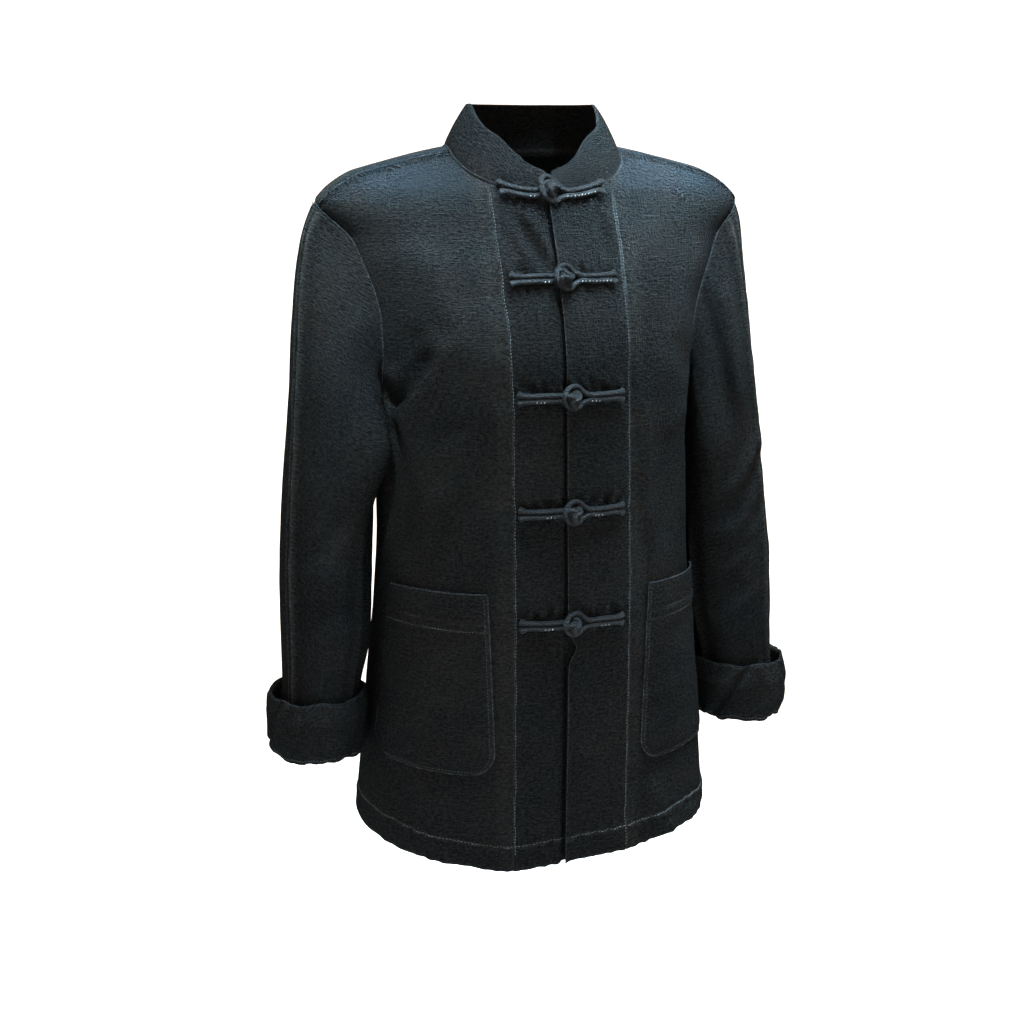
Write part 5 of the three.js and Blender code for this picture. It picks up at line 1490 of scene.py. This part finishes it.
# %% Bodies, solids and finishes
CORDED = ("button", "knot", "loop")
for node, piece in pieces.items():
    cordy = node.startswith(CORDED)
    piece.data.materials.append(bias_cord if cordy else body_linen)
    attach(piece, "root")
    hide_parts(node)
for node, piece in rolls.items():
    # Each seam ridge takes the paler linen, a painted highlight as well as worn cloth.
    piece.data.materials.append(worn_and_highlit_linen)
    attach(piece, "root")
for node, piece in threads.items():
    cordy = node.startswith(CORDED)
    piece.data.materials.append(pale_thread if cordy else seam_thread)
    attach(piece, "root")
print("pieces:", len(pieces) + len(rolls) + len(threads))

# %% Sheets of cloth
# node, cut width and length and flat area in metres, how it is held, and what it is sewn on or lies on
CUTS = [("back", 0.508, 0.733, 0.2949, "hung", ()),
        ("front_right", 0.219, 0.721, 0.1256, "hung", ("back",)),
        ("front_left", 0.220, 0.715, 0.1225, "hung", ("back",)),
        ("band_right", 0.082, 0.664, 0.0464, "hung", ("front_right",)),
        ("band_left", 0.076, 0.655, 0.0418, "hung", ("front_left",)),
        ("sleeve_right", 0.476, 0.529, 0.1386, "hung", ("front_right", "back")),
        ("sleeve_left", 0.476, 0.529, 0.1359, "hung", ("front_left", "back")),
        ("cuff_right", 0.332, 0.136, 0.0387, "folded", ("sleeve_right",)),
        ("cuff_left", 0.333, 0.134, 0.0389, "folded", ("sleeve_left",)),
        ("collar", 0.498, 0.056, 0.0207, "folded", ("back", "front_right", "front_left")),
        ("pocket_right", 0.146, 0.192, 0.0233, "laid", ("front_right",)),
        ("pocket_left", 0.146, 0.193, 0.0234, "laid", ("front_left",))]
for node, width, length, area, held, under in CUTS:
    sewn_on = [table[node] for table in (threads, rolls) if node in table]
    if node == "band_left":
        sewn_on.append(rolls["band_edge"])
print("sheets:", len(CUTS), "of", round(sum(cut[3] for cut in CUTS), 2), "square metres")

# %% [markdown]
# ## Floor and light
# Soft studio light from above and a little in front makes shoulders and chest the palest part and
# leaves the hanging cloth dark. A pale floor and a white surround give the rest.

# %% Floor
FLOOR_Z, FLOOR_REACH = -1.36, 20
corners = [(x * FLOOR_REACH, y * FLOOR_REACH, FLOOR_Z) for x, y in ((-1, -1), (1, -1), (1, 1), (-1, 1))]
floor_mesh = bpy.data.meshes.new("floor")
floor_mesh.from_pydata(corners, [], [(0, 1, 2, 3)])
floor = placed("floor", floor_mesh)
floor_mesh.materials.append(Shader("pale_floor", Roughness=0.9, Base_Color=(0.92, 0.92, 0.92, 1),
                                   Emission_Color=(1, 1, 1, 1), Emission_Strength=0.35).material)
floor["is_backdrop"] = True
print("floor at", FLOOR_Z, "m")

# %% Lights and surround
bpy.context.scene.view_settings.view_transform = "Standard"
world = bpy.data.worlds.new("surround")
bpy.context.scene.world = world
world.use_nodes = True
surround = world.node_tree.nodes["Background"].inputs
surround["Color"].default_value, surround["Strength"].default_value = (1.18, 1.05, 0.96, 1), 1.35


def soft_light(name, place, target, size, power, colour, spread):
    """A round lamp at a place, turned towards a target; spread is its cone in degrees."""
    data = bpy.data.lights.new(name, "AREA")
    data.shape = "DISK"
    data.size, data.energy, data.color, data.spread = size, power, colour, math.radians(spread)
    light = bpy.data.objects.new(name, data)
    bpy.context.scene.collection.objects.link(light)
    light.location = place
    light.rotation_euler = (Vector(target) - Vector(place)).to_track_quat("-Z", "Y").to_euler()


OVERHEAD_BLUE, CHEST_BLUE = (0.56, 0.81, 1.0), (0.58, 0.82, 1.0)
soft_light("overhead", (0.32, -0.07, 1.9), (0, 0, -0.05), 1.3, 104, OVERHEAD_BLUE, 60)
soft_light("chest_fill_right", (-0.5, -0.9, 1.5), (-0.14, 0, -0.13), 0.12, 1.2, CHEST_BLUE, 9)
soft_light("chest_fill_left", (0.5, -0.9, 1.5), (0.11, 0, -0.10), 0.12, 1.8, CHEST_BLUE, 9)
print("surround's strength:", round(surround["Strength"].default_value, 2))

# %% Size and finish
low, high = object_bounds()
print("grown by, in mm:", [round((a - b) * 1000, 1) for a, b in zip(cad_low, low)],
      [round((b - a) * 1000, 1) for a, b in zip(cad_high, high)])
